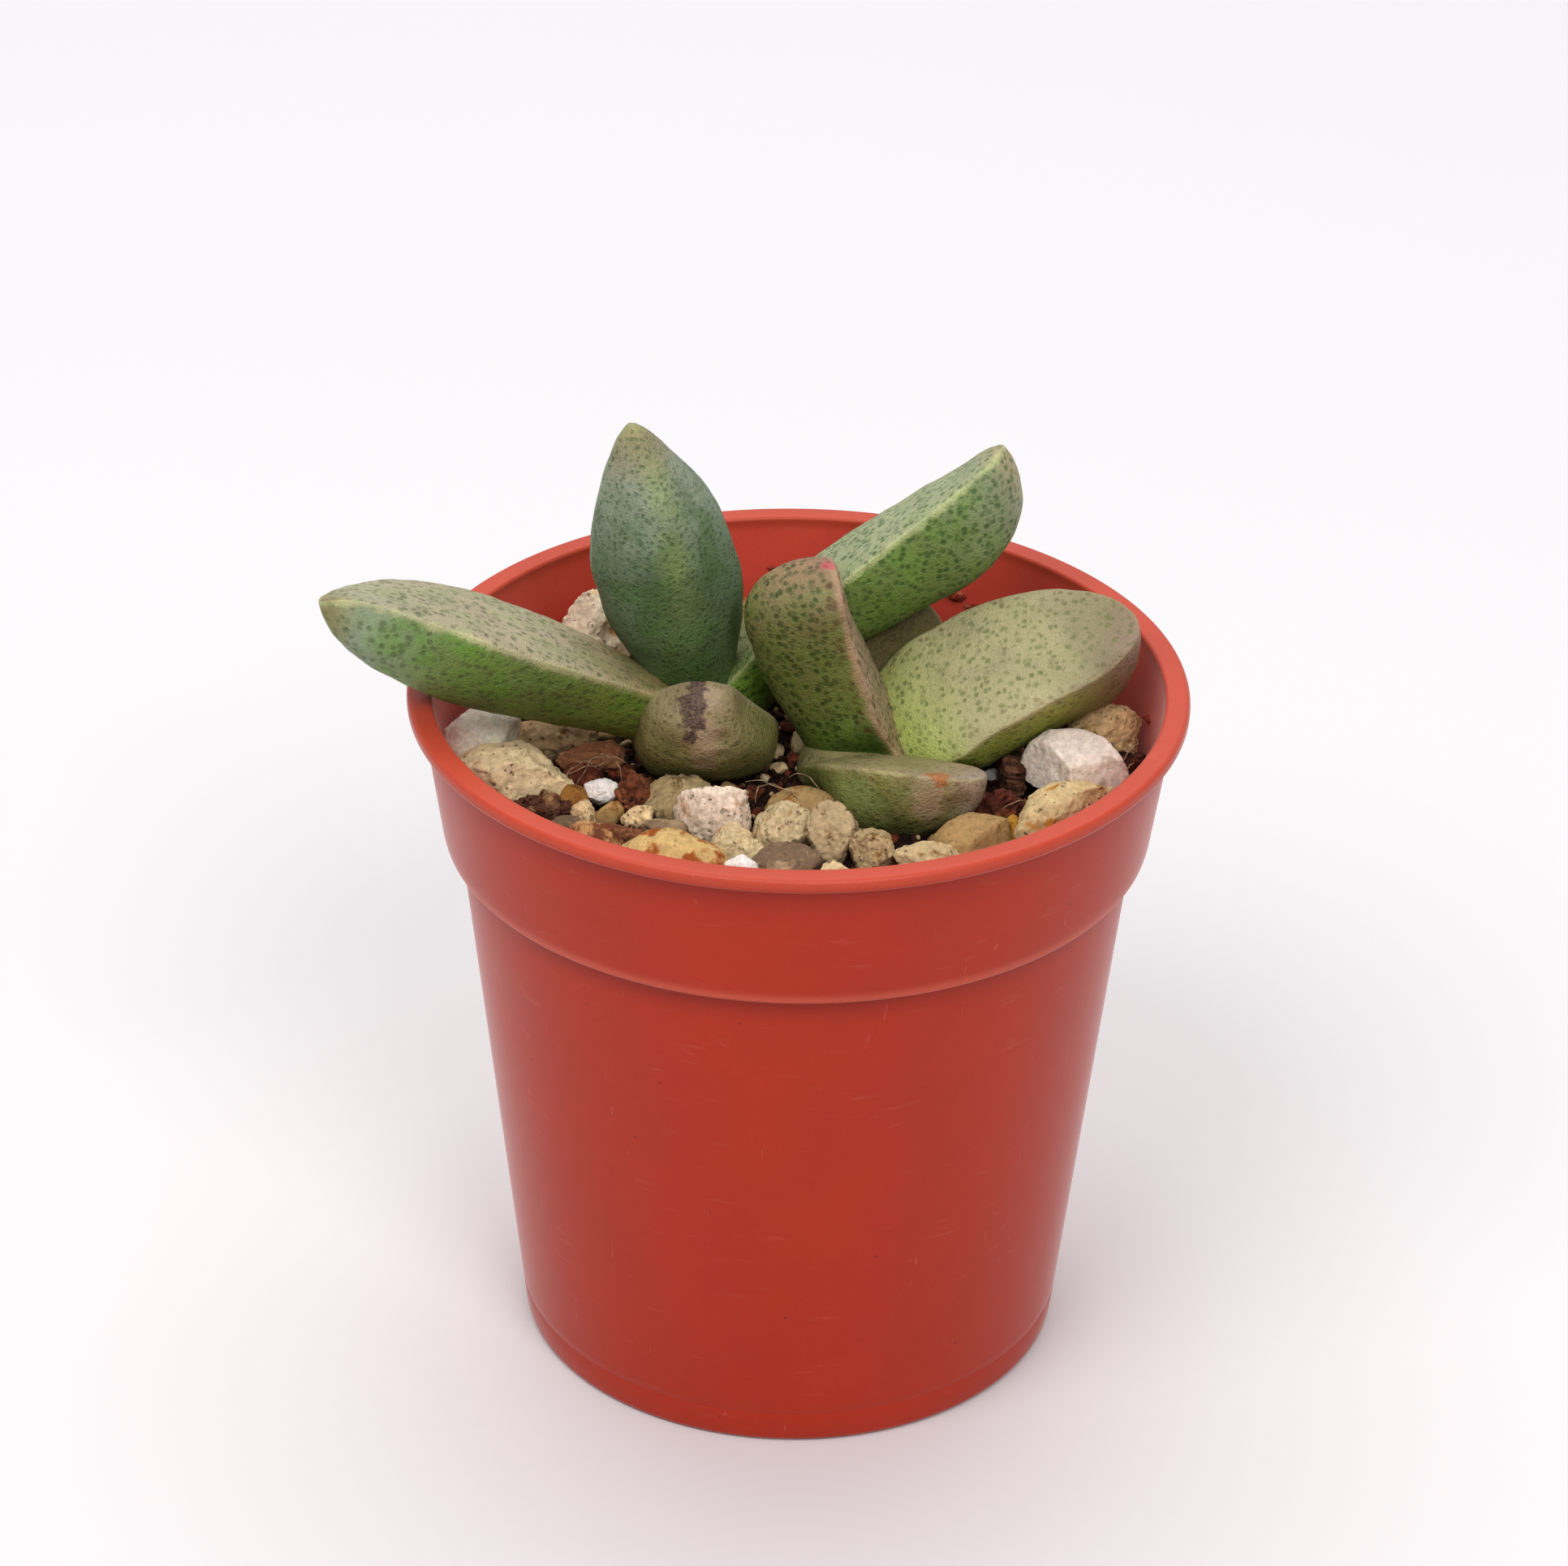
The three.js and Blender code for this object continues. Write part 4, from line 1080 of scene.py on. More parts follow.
def mark_inner_wall(mesh):
    points = points_of(mesh) / MM
    radius = np.hypot(points[:, 0], points[:, 1])
    height = points[:, 2]
    middle = np.where(height > POT["collar_bottom"] + 0.4, collar_radius(height), body_radius(height))
    inside = (radius < middle - POT["wall"] / 2) & (height > POT["floor_top"] - 0.1)
    set_attribute(mesh, "inner_wall", inside)


# Potting mix


def soil_height(x, y):
    """Height of the mix in millimetres: low humps with crumbs on them."""
    edge = POT["collar_top_radius"] - POT["wall"]
    rise = SOIL["level"] + SOIL["crown"] * (1 - (x * x + y * y) / edge**2)
    waves = 0.6 * math.sin(0.9 * x + 0.5) * math.cos(0.8 * y - 0.5)
    waves += 0.4 * math.sin(1.7 * x + 2.1) * math.cos(1.3 * y - 2.1)
    return rise + SOIL["relief"] * waves


def crumbs(x, y):
    return sum(height * noise.noise(Vector((often * x, often * y, at))) for often, at, height in SOIL_CRUMBS)


def soil_profile():
    gap = SOIL["clearance"]
    wall = POT["wall"] + gap
    level = SOIL["level"]
    ledge = POT["collar_bottom"] + wall
    floor = POT["floor_top"] + gap
    rim = collar_radius(level) - wall
    bottom = body_radius(floor) - wall - 0.7
    points = [(0, floor), (bottom, floor), (body_radius(floor + 1) - wall, floor + 1)]
    points += [(body_radius(ledge) - wall, ledge), (collar_radius(ledge) - wall, ledge)]
    points += straight((rim, level), (0, level), 84)
    return points


class PLANT_OT_make_soil(bpy.types.Operator):
    """Fill the pot with potting mix that has a crumbly top"""

    bl_idname = "plant.make_soil"
    bl_label = "Make Potting Mix"

    def execute(self, context):
        material = earth_material("potting_soil", "#1a0e0a", "#2f1b13", "#5c4028", 0.05)
        soil = turned_piece("potting_soil", soil_profile(), 220, material)
        points = points_of(soil.data) / MM
        for point in points:
            if point[2] > SOIL["level"] - 0.5:
                point[2] = soil_height(point[0], point[1]) + crumbs(point[0], point[1])
        set_points(soil.data, points * MM)
        shade_smooth(soil.data)
        dress(soil, material, "potting_mix", "potting_mix")
        return {"FINISHED"}


# Leaves


def smooth_share(low, high, value):
    share = np.clip((value - low) / (high - low), 0, 1)
    return share * share * (3 - 2 * share)


def swelling(size, taper, along):
    """Half width or keel depth along the leaf."""
    full, start_share, full_at = size
    taper_from, fullness, roundness = taper
    rise = start_share + (1 - start_share) * smooth_share(0, full_at, along)
    past = np.clip((along - taper_from) / (1 - taper_from), 0, 1)
    return full * rise * np.maximum(0, 1 - past**fullness) ** (1 / roundness)


def unit_rows(rows):
    return rows / np.linalg.norm(rows, axis=-1, keepdims=True)


def leaf_surface(form, rows, columns):
    """Points of the leaf in millimetres, rows from the base to the tip, with where each one lies."""
    along = (1 - np.cos(np.pi * np.linspace(0, 1, rows))) / 2
    spine = np.array(form.spine, float)
    share = along[:, None]
    centre = sum(math.comb(3, k) * (1 - share) ** (3 - k) * share**k * spine[k] for k in range(4))
    legs = np.diff(spine, axis=0)
    tangent = unit_rows(sum(math.comb(2, k) * (1 - share) ** (2 - k) * share**k * legs[k] for k in range(3)))
    upper_base, upper_tip = unit_rows(np.array(form.upper, float))
    upper = upper_base + (upper_tip - upper_base) * share
    upper = unit_rows(upper - tangent * (upper * tangent).sum(1, keepdims=True))
    across = np.cross(tangent, upper)
    half_width = swelling(form.width, form.taper, along)[:, None]
    keel_depth = swelling(form.keel, form.keel_taper, along)[:, None]
    turn = np.linspace(0, 2 * np.pi, columns, endpoint=False)
    raised = np.sin(turn) >= 0
    power = np.where(raised, 2 / form.section[0], 2 / form.section[1])
    side, rise = (np.sign(part) * np.abs(part) ** power for part in (np.cos(turn), np.sin(turn)))
    depth = np.where(raised, form.crown * half_width, keel_depth) * rise
    aside = across[:, None] * (half_width * side)[..., None]
    return centre[:, None] + aside + upper[:, None] * depth[..., None], along, turn


def leaf_fields(points, along, turn):
    """The values that the skin's material reads: where each point lies, and its margin and keel."""
    steps = np.linalg.norm(np.diff(points, axis=1, append=points[:, :1]), axis=-1)
    around = np.cumsum(steps, axis=1) - steps
    whole = steps.sum(axis=1, keepdims=True)
    count = len(turn)
    to_margin = np.minimum.reduce([around, np.abs(around - around[:, [count // 2]]), whole - around])
    to_keel = np.abs(around - around[:, [3 * count // 4]])
    values = (
        np.broadcast_to(along[:, None], around.shape),
        np.broadcast_to(smooth_share(-0.12, 0.12, np.sin(turn)), around.shape),
        1 - smooth_share(0.05, 0.6, to_margin),
        1 - smooth_share(0.2, 1.9, to_keel),
        to_margin / np.maximum(to_margin.max(axis=1, keepdims=True), 1e-6),
    )
    return dict(zip(LEAF_FIELDS, values))


def leaf_mesh(name, points):
    """A closed mesh of the rows, with its base and its tip drawn together to a point."""
    rows, columns = points.shape[:2]
    flat = points.reshape(-1, 3)
    base, tip = len(flat), len(flat) + 1
    everything = np.concatenate([flat, points[0].mean(axis=0)[None], points[-1].mean(axis=0)[None]])
    faces = []
    for row in range(rows - 1):
        for column in range(columns):
            beside = (column + 1) % columns
            low, high = row * columns, (row + 1) * columns
            faces.append((low + column, low + beside, high + beside, high + column))
    last = (rows - 1) * columns
    for column in range(columns):
        beside = (column + 1) % columns
        faces.append((base, beside, column))
        faces.append((tip, last + column, last + beside))
    return mesh_of(name, everything, faces)


def with_lumps(made, lumps):
    """Joins the lumps to the leaf and lets their skins run into each other."""
    work = bmesh.new()
    work.from_mesh(made.data)
    for centre, half in lumps:
        ball = bmesh.ops.create_icosphere(work, subdivisions=5, radius=1.0)
        for vert in ball["verts"]:
            vert.co = Vector(c + h * v for c, h, v in zip(centre, half, vert.co)) * MM
    work.to_mesh(made.data)
    work.free()
    relaxed(remeshed(made, LUMP_FACES), LUMP_ROUNDS)


def skin_relief(point, height):
    """Slow humps and shallow dimples of the skin, in millimetres."""
    slow = noise.noise(point * 0.28)
    middle = noise.noise(point * 0.85 + Vector((7, 3, 1)))
    fine = noise.noise(point * 2.6 + Vector((1, 9, 4)))
    return height * (1.2 * slow + 0.5 * middle + 0.14 * fine)


def dented(mesh, dents):
    """Pushes the skin in or out round each listed place."""
    points = points_of(mesh) / MM
    for place, reach, push in dents:
        share = np.linalg.norm(points - np.array(place), axis=1) / reach
        points += np.outer(np.clip(1 - share**2, 0, 1) ** 2, push)
    set_points(mesh, points * MM)


def mark_mask(points, marks, kind):
    """How strongly one kind of blemish covers each point."""
    mask = np.zeros(len(points))
    for place, reach in (mark[1:] for mark in marks if mark[0] == kind):
        distance = np.linalg.norm(points - np.array(place), axis=1)
        mask = np.maximum(mask, np.clip(1.3 - distance / reach, 0, 1))
    return mask


def nearest_of(mesh, places):
    """For each vertex of the mesh, the number of the place nearest to it."""
    finder = kdtree.KDTree(len(places))
    for index, place in enumerate(places):
        finder.insert(place, index)
    finder.balance()
    return [finder.find(point)[1] for point in points_of(mesh) / MM]


def make_leaf(name, form, settings):
    points, along, turn = leaf_surface(form, settings.rows, settings.columns)
    made = new_object(f"{name}_skin", leaf_mesh(name, points))
    places = points.reshape(-1, 3)
    if name in LEAF_LUMPS:
        with_lumps(made, LEAF_LUMPS[name])
        mesh = made.data
        nearest = nearest_of(mesh, places)
    else:
        mesh = made.data
        face_out(mesh)
        nearest = nearest_of(mesh, places)
        relaxed(mesh, 3)
    for label, values in leaf_fields(points, along, turn).items():
        set_attribute(mesh, f"leaf_{label}", values.ravel()[nearest])
    dented(mesh, LEAF_DENTS.get(name, []))
    pushed(mesh, [skin_relief(Vector(point), settings.swell / MM) for point in points_of(mesh) / MM])
    for kind in MARK_KINDS:
        set_attribute(mesh, f"leaf_{kind}", mark_mask(points_of(mesh) / MM, LEAF_MARKS.get(name, []), kind))
    shade_smooth(mesh)
    dress(made, leaf_material(name, LEAF_SKINS[name], settings.roughness), "leaf", name)


class PLANT_OT_make_leaves(bpy.types.Operator):
    """Grow the eight thick keeled leaves with their dotted skins"""

    bl_idname = "plant.make_leaves"
    bl_label = "Make Leaves"

    def execute(self, context):
        settings = context.scene.plant_leaves
        for name, form in LEAF_FORMS.items():
            make_leaf(name, form, settings)
        return {"FINISHED"}


# Pieces that follow a solid of the frame


def copy_of_node(node, name):
    """The node's own surface as a new closed mesh."""
    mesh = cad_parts[node].data.copy()
    mesh.name = name
    face_out(mesh)
    return new_object(name, mesh)


class PLANT_OT_make_stems(bpy.types.Operator):
    """Round off the two short stems that carry the heads"""

    bl_idname = "plant.make_stems"
    bl_label = "Make Stems"

    def execute(self, context):
        material = streaked_material(
            "stem_skin", (1.0, 1.0, 0.3), 4.0, 0.6, (0.35, 0.65), ("#5c5030", "#8a8656"),
            (0.2, 0.55), 0.4, 0.1)
        for node in ("left_head_stem", "right_head_stem"):
            made = copy_of_node(node, f"{node}_skin")
            mesh = remeshed(made, 0.25)
            relaxed(mesh, 4)
            pushed(mesh, [0.12 * noise.noise(Vector(point) * 0.9) for point in points_of(mesh) / MM])
            shade_smooth(mesh)
            dress(made, material, "stem", node)
        return {"FINISHED"}


# Stones


def stone_relief(kind, point, seed, size):
    """Lumps and pits of a stone's surface in millimetres, and how deep in a pit the point is."""
    broad, small, crumb, pits, cracks = STONE_RELIEF[kind]
    grown = min(1.0, size / 2.2)
    shifted = point + Vector((3.7 * seed, 1.9 * seed, 5.3 * seed))
    shifted *= Vector(STONE_GRAIN.get(kind, (1.0, 1.0, 1.0)))
    height = grown * broad * 1.6 * noise.noise(shifted * 0.55)
    height += small * 1.4 * noise.noise(shifted * 1.7)
    height += crumb * 1.6 * noise.noise(shifted * 5.2)
    distances, places = noise.voronoi(shifted * 1.25)
    drawn = noise.cell(places[0] * 3.1)
    reach = 0.12 + 0.3 * abs(drawn)
    hollow = max(0.0, 1 - distances[0] / reach)
    hollow = hollow * hollow * (3 - 2 * hollow) if drawn > 0.25 else 0.0
    bent = shifted + 0.5 * noise.noise_vector(shifted * 1.1)
    apart = noise.voronoi(bent * 0.95)[0]
    crack = max(0.0, 1 - (apart[1] - apart[0]) / 0.3)
    depth = pits * grown * hollow + cracks * grown * crack
    return height - depth, min(1.0, 3 * pits * hollow + 2.2 * cracks * crack)


def drawn_direction(draw):
    way = draw.normal(size=3)
    return way / np.linalg.norm(way)


def broken(points, kind, seed):
    """Cuts flat faces and shallow scoops off a stone: what lies beyond a cut moves back onto it."""
    draw = np.random.default_rng(seed)
    faces, deepest, scoops = STONE_BREAKS[kind]
    middle = (points.min(axis=0) + points.max(axis=0)) / 2
    local = points - middle
    for _ in range(faces):
        normal = drawn_direction(draw)
        reach = local @ normal
        limit = reach.max() * (1 - deepest * draw.random())
        local -= np.outer(np.maximum(0, reach - limit), normal)
    for _ in range(scoops):
        normal = drawn_direction(draw)
        top = (local @ normal).max()
        from_ball = local - normal * top * (1.45 + 0.2 * draw.random())
        far = np.linalg.norm(from_ball, axis=1, keepdims=True)
        local += from_ball / far * np.maximum(0, top * 0.72 - far)
    return local * (1 + deepest * 0.4) + middle


def stone_tints(name, seed):
    """Body, stain and stain share of a stone: the body drawn a little lighter or darker and warmer or cooler,
    the share larger or smaller.
    """
    body, stain, share = STONE_TINTS.get(name) or STONE_TINTS[stone_kind(name)]
    draw = random.Random(seed)
    light = 0.86 + 0.28 * draw.random()
    warm = 0.96 + 0.08 * draw.random()
    tint = np.array(linear(body)) * [light * warm, light, light / warm, 1]
    return tint.clip(0, 1), np.array(linear(stain)), share * (0.6 + 0.8 * draw.random())


def finish_stone(made, tints, hollows, kind, *nodes):
    """Stores each vertex's tints and its depth in a pit, and dresses the stone."""
    mesh = made.data
    bodies, stains, shares = zip(*tints)
    set_attribute(mesh, "stone_body", bodies, "FLOAT_COLOR")
    set_attribute(mesh, "stone_stain", stains, "FLOAT_COLOR")
    set_attribute(mesh, "stone_stain_share", shares)
    set_attribute(mesh, "stone_hollow", hollows)
    shade_smooth(mesh)
    dress(made, bpy.data.materials[f"{kind}_stone"], kind, *nodes)


def make_stone(node, seed, settings):
    kind = stone_kind(node)
    made = copy_of_node(node, f"{node}_stone")
    low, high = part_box(node)
    size = max(high - low) / 2 / MM
    mesh = remeshed(made, max(FINEST_STONE_FACES, settings.detail * size))
    relaxed(mesh, 2)
    set_points(mesh, broken(points_of(mesh), kind, seed))
    relaxed(mesh, 2 if kind in ("perlite", "gravel") else 1)
    reliefs = [stone_relief(kind, Vector(point), seed, size) for point in points_of(mesh) / MM]
    pushed(mesh, [STONE_SKIN + settings.relief * height for height, _ in reliefs])
    tints = [stone_tints(node, seed)] * len(mesh.vertices)
    finish_stone(made, tints, [hollow for _, hollow in reliefs], kind, node)


class PLANT_OT_make_stones(bpy.types.Operator):
    """Break and weather the loose stones of the frame"""

    bl_idname = "plant.make_stones"
    bl_label = "Make Stones"

    def execute(self, context):
        settings = context.scene.plant_stones
        stones = sorted(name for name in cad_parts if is_stone(name))
        for kind in STONE_KINDS:
            stone_material(kind)
        for seed, node in enumerate(stones):
            make_stone(node, seed, settings)
        return {"FINISHED"}


# Chips


def chip_faces(half, kind, seed):
    """Points, faces and pits of one small stone: a ball bounded by soft planes, with a rough surface."""
    work = bmesh.new()
    fine = max(half) >= CHIP_FINE_FROM
    bmesh.ops.create_icosphere(work, subdivisions=4 if fine else 3, radius=1.0)
    draw = random.Random(seed)
    planes = []
    for k in range(CHIP_PLANES):
        rise = 1 - (2 * k + 1) / CHIP_PLANES
        turn = GOLDEN_ANGLE * k + math.tau * draw.random()
        flat = math.sqrt(1 - rise * rise)
        way = Vector((flat * math.cos(turn), flat * math.sin(turn), rise))
        planes.append((way, 0.8 + 0.4 * draw.random()))
    spin = Matrix.Rotation(math.tau * draw.random(), 3, "Z") @ Matrix.Rotation(0.5 * draw.random(), 3, "X")
    points, hollows = [], []
    for vert in work.verts:
        total = sum(max(0.0, vert.co.dot(plane) / distance) ** CHIP_EDGE for plane, distance in planes)
        reach = min(1.25, max(total, 0.01) ** (-1 / CHIP_EDGE))
        local = spin @ Vector(c * h for c, h in zip(vert.co * reach, half))
        height, hollow = stone_relief(kind, local * 1.6, seed, max(half))
        points.append(local * (1 + 0.6 * height / max(half)))
        hollows.append(hollow)
    faces = [[vert.index for vert in face.verts] for face in work.faces]
    work.free()
    return points, faces, hollows


def add_chip(heap, chip, place, spin=None):
    """Adds a chip's points, faces and pits to a heap, at its place and turned by its spin."""
    heap_points, heap_faces, heap_hollows = heap
    points, faces, hollows = chip
    start = len(heap_points)
    heap_points += [Vector(place) + (spin @ point if spin else point) for point in points]
    heap_faces += [[start + corner for corner in face] for face in faces]
    heap_hollows += hollows


def stone_boxes():
    """Middle and half width of every stone that the frame holds, in millimetres."""
    found = []
    for node in sorted(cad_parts):
        if is_stone(node):
            low, high = (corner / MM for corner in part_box(node))
            middle = (low + high) / 2
            found.append((middle.x, middle.y, max(high.x - low.x, high.y - low.y) / 2))
    return found


# Small stones that the photo shows: kind, place and half sizes
PLACED_CHIPS = [
    ("pumice", (2.6, -16.0, 45.1), (1.0, 0.9, 0.9)),
    ("gravel", (-22.9, 3.9, 45.6), (1.3, 1.1, 1.0)),
    ("slate", (-16.1, -10.0, 44.7), (1.4, 1.0, 0.9)),
    ("gravel", (-13.0, -7.9, 44.6), (0.8, 1.0, 1.2)),
    ("lava", (-15.0, -1.9, 44.5), (1.6, 1.2, 1.1)),
]
CHIP_KINDS = ("pumice", "lava", "gravel", "bark", "pumice", "perlite", "slate", "lava", "gravel", "pumice")
CHIP_REACH = 23.2
CHIP_HALF = (0.55, 1.15)
CHIP_FINE_FROM = 0.9  # half size from which a chip has finer faces
CHIP_PLANES = 12
CHIP_EDGE = 9  # how sharply one plane passes into the next
CHIP_SEED = 100
BARE_PLACES = ((-6.9, 2.3, 5.2), (6.2, 0.2, 5.0), (0.2, -3.2, 2.2), (1.0, -5.6, 1.6))


def scattered_chips(settings):
    """Chips at drawn places that keep off the larger stones and each other."""
    draw = random.Random(settings.seed)
    taken = stone_boxes() + list(BARE_PLACES)
    taken += [(place[0], place[1], half[0]) for _, place, half in PLACED_CHIPS]
    chips = list(PLACED_CHIPS)
    tries = 0
    while len(chips) < settings.chip_count and tries < 60 * settings.chip_count:
        tries += 1
        half = CHIP_HALF[0] + (CHIP_HALF[1] - CHIP_HALF[0]) * draw.random() ** 1.6
        reach = CHIP_REACH * math.sqrt(draw.random())
        turn = math.tau * draw.random()
        x, y = reach * math.cos(turn), reach * math.sin(turn)
        if any(math.hypot(x - ox, y - oy) < 0.78 * (half + other) for ox, oy, other in taken):
            continue
        taken.append((x, y, half))
        halves = (half, half * (0.65 + 0.3 * draw.random()), half * (0.6 + 0.3 * draw.random()))
        kind = CHIP_KINDS[int(draw.random() * len(CHIP_KINDS))]
        chips.append((kind, (x, y, soil_height(x, y) + 0.55 * halves[2]), halves))
    return chips


class PLANT_OT_make_chips(bpy.types.Operator):
    """Fill the gaps between the stones with small chips, one piece for each kind"""

    bl_idname = "plant.make_chips"
    bl_label = "Make Chips"

    def execute(self, context):
        chips = scattered_chips(context.scene.plant_stones)
        for kind in STONE_KINDS:
            chosen = [(seed, *chip[1:]) for seed, chip in enumerate(chips, CHIP_SEED) if chip[0] == kind]
            make_chip_piece(kind, chosen)
        return {"FINISHED"}


def make_chip_piece(kind, chips):
    if not chips:
        return
    heap, tints = ([], [], []), []
    for seed, place, half in chips:
        add_chip(heap, chip_faces(half, kind, seed), place)
        tints += [stone_tints(kind, seed)] * (len(heap[0]) - len(tints))
    points, faces, hollows = heap
    name = f"{kind}_chips"
    finish_stone(new_object(name, mesh_of(name, points, faces)), tints, hollows, kind)


# Grit and fibres


def grit_ground():
    """The top of the mix as an open sheet for the grit to lie on."""
    reach, rings, around = GRIT_GROUND
    points, faces = [], []
    for ring in range(1, rings + 1):
        radius = reach * ring / rings
        for column in range(around):
            turn = math.tau * column / around
            x, y = radius * math.cos(turn), radius * math.sin(turn)
            points.append((x, y, soil_height(x, y) + crumbs(x, y)))
    for ring in range(rings - 1):
        for column in range(around):
            beside = (column + 1) % around
            low, high = ring * around, (ring + 1) * around
            faces.append((low + column, high + column, high + beside, low + beside))
    return mesh_of("grit_ground", points, faces)


# The sheet that carries the grit: its radius in millimetres, its rings and the points round each
GRIT_GROUND = (24.2, 60, 160)
GRIT_DENSITY = 4e6  # places tried in a square metre, before those too near each other are dropped
# Grit: name, browns, specks, share of specks, spacing and size against the settings, slot
GRIT_KINDS = (
    ("dark_grit", ("#22120d", "#45281c", "#7c5a3c", 0.07), 1.04, 1.0, "potting_mix"),
    ("tan_grit", ("#947a50", "#c8b084", "#e4d6b4", 0.2), 2.8, 1.1, "pumice"),
    ("red_grit", ("#4c241a", "#7c4029", "#a06a48", 0.1), 2.1, 1.25, "lava"),
)


class PLANT_OT_make_grit(bpy.types.Operator):
    """Scatter fine dark, tan and reddish grit over the mix"""

    bl_idname = "plant.make_grit"
    bl_label = "Make Grit"

    def execute(self, context):
        settings = context.scene.plant_grit
        tree = shared_group("Grit", grit_tree)
        for order, (name, tones, wider, larger, slot) in enumerate(GRIT_KINDS):
            material = earth_material(name, *tones)
            values = {
                "Spacing": settings.spacing * wider, "Density": GRIT_DENSITY / wider**2,
                "Smallest": settings.smallest * larger, "Largest": settings.largest * larger,
                "Seed": settings.seed + order, "Material": material,
            }
            made = made_by_tree(name, grit_ground(), (tree, values))
            face_out(made.data)
            shade_smooth(made.data)
            dress(made, material, slot)
        return {"FINISHED"}


# Dry roots: start, end and how far the middle bows, in millimetres
FIBRES = (
    ((-16.6, -2.9, 45.3), (-12.6, -1.6, 45.9), (0.3, -1.1, 0.7)),
    ((-15.4, -4.1, 45.0), (-11.9, -2.7, 46.3), (-0.6, 0.5, 0.9)),
    ((-14.9, -1.0, 45.6), (-12.4, -4.4, 45.4), (0.9, 0.2, 0.8)),
    ((-13.9, -2.6, 45.5), (-16.7, -4.8, 45.3), (0.2, 0.8, 0.9)),
    ((-3.6, -5.6, 46.4), (0.4, -8.4, 45.9), (0.6, 0.5, 0.5)),
    ((-1.2, -4.9, 45.6), (-2.8, -7.6, 45.9), (-0.5, 0.1, 0.8)),
    ((-0.6, -4.2, 46.2), (1.6, -6.4, 45.7), (0.4, 0.3, 0.6)),
    ((22.6, -2.6, 46.4), (24.0, 1.0, 46.9), (0.3, -0.4, 0.6)),
    ((21.6, -4.6, 46.2), (23.6, -1.8, 46.5), (0.5, -0.3, 0.5)),
    ((17.2, -6.0, 45.4), (14.2, -8.1, 45.9), (-0.5, -0.6, 0.7)),
    ((-22.6, 5.6, 45.4), (-23.4, 1.6, 46.4), (-0.5, 0.1, 0.5)),
    ((-8.5, 12.5, 44.9), (-3.2, 14.6, 45.2), (0.3, 0.7, 0.8)),
    ((9.6, 14.5, 44.9), (13.6, 11.0, 45.3), (0.5, 0.6, 0.7)),
)
FIBRE_STEPS = 22
FIBRE_WANDER = 0.35


class PLANT_OT_make_fibres(bpy.types.Operator):
    """Lay thin dry root fibres between the stones"""

    bl_idname = "plant.make_fibres"
    bl_label = "Make Root Fibres"

    def execute(self, context):
        material = streaked_material(
            "dry_root", (1.0, 1.0, 1.0), 3.0, 0.5, (0.3, 0.7), ("#6f553c", "#b39a78"), (0.1, 0.65), 0.3, 0.02)
        points, edges = [], []
        for number, (start, end, bow) in enumerate(FIBRES):
            for k in range(FIBRE_STEPS + 1):
                share = k / FIBRE_STEPS
                point = Vector(start).lerp(Vector(end), share) + Vector(bow) * math.sin(math.pi * share)
                wander = noise.noise_vector(point * 0.9 + Vector((number, 0, 0)))
                if k:
                    edges.append((len(points) - 1, len(points)))
                points.append(point + wander * FIBRE_WANDER)
        lines = mesh_of("root_fibres", points, [], edges)
        tree = shared_group("Fibres", fibre_tree)
        values = {"Radius": context.scene.plant_grit.fibre_radius, "Material": material}
        made = made_by_tree("root_fibres", lines, (tree, values))
        face_out(made.data)
        shade_smooth(made.data)
        dress(made, material, "bark")
        return {"FINISHED"}


# Scraps of pumice dust and bark that stick to the inner wall: turn round the pot, height, half sizes
WALL_SCRAPS = [
    (62.0, 46.8, (0.7, 0.3, 0.4)), (58.5, 46.2, (0.9, 0.3, 0.35)), (66.0, 47.9, (0.4, 0.2, 0.25)),
    (55.0, 47.2, (0.3, 0.2, 0.2)), (118.0, 46.6, (0.5, 0.25, 0.3)), (146.0, 47.3, (0.4, 0.2, 0.2)),
    (8.0, 47.0, (0.45, 0.25, 0.25)), (-14.0, 47.6, (0.3, 0.2, 0.2)), (95.0, 47.4, (0.3, 0.2, 0.2)),
]
SCRAP_MIDDLE = 0.1  # how far a scrap's middle stands off the wall
SCRAP_SEED = 400


class PLANT_OT_make_scraps(bpy.types.Operator):
    """Stick a few small scraps to the pot's inner wall"""

    bl_idname = "plant.make_scraps"
    bl_label = "Make Scraps"

    def execute(self, context):
        heap = ([], [], [])
        for seed, (turn, height, half) in enumerate(WALL_SCRAPS, SCRAP_SEED):
            radius = collar_radius(height) - POT["wall"] - SCRAP_MIDDLE
            angle = math.radians(turn)
            place = (radius * math.cos(angle), radius * math.sin(angle), height)
            spin = Matrix.Rotation(angle + math.pi / 2, 3, "Z")
            add_chip(heap, chip_faces(half, "bark", seed), place, spin)
        made = new_object("wall_scraps", mesh_of("wall_scraps", *heap[:2]))
        shade_smooth(made.data)
        dress(made, earth_material("wall_scraps", "#7c2f22", "#a8503c", "#b07a5c", 0.1), "bark")
        return {"FINISHED"}


# Stage

CAMERA = {
    "lens": 121.94,
    "distance": 385.915,
    "look_height": 26.0,
    "elevation": 31.782,
    "pitch": 2.229,
    "yaw": -0.103,
    "roll": -0.974,
}


# Lights: name, place, what they point at, and size, in metres
LIGHTS = (
    ("overhead_softbox", (-0.02, 0.5, 0.95), (0, 0.2, 0), 1.2),
    ("left_softbox", (-0.34, -0.48, 0.82), (0, 0, 0.04), 0.55),
    ("camera_softbox", (0.24, -0.64, 0.68), (0, 0, 0.04), 0.4),
)


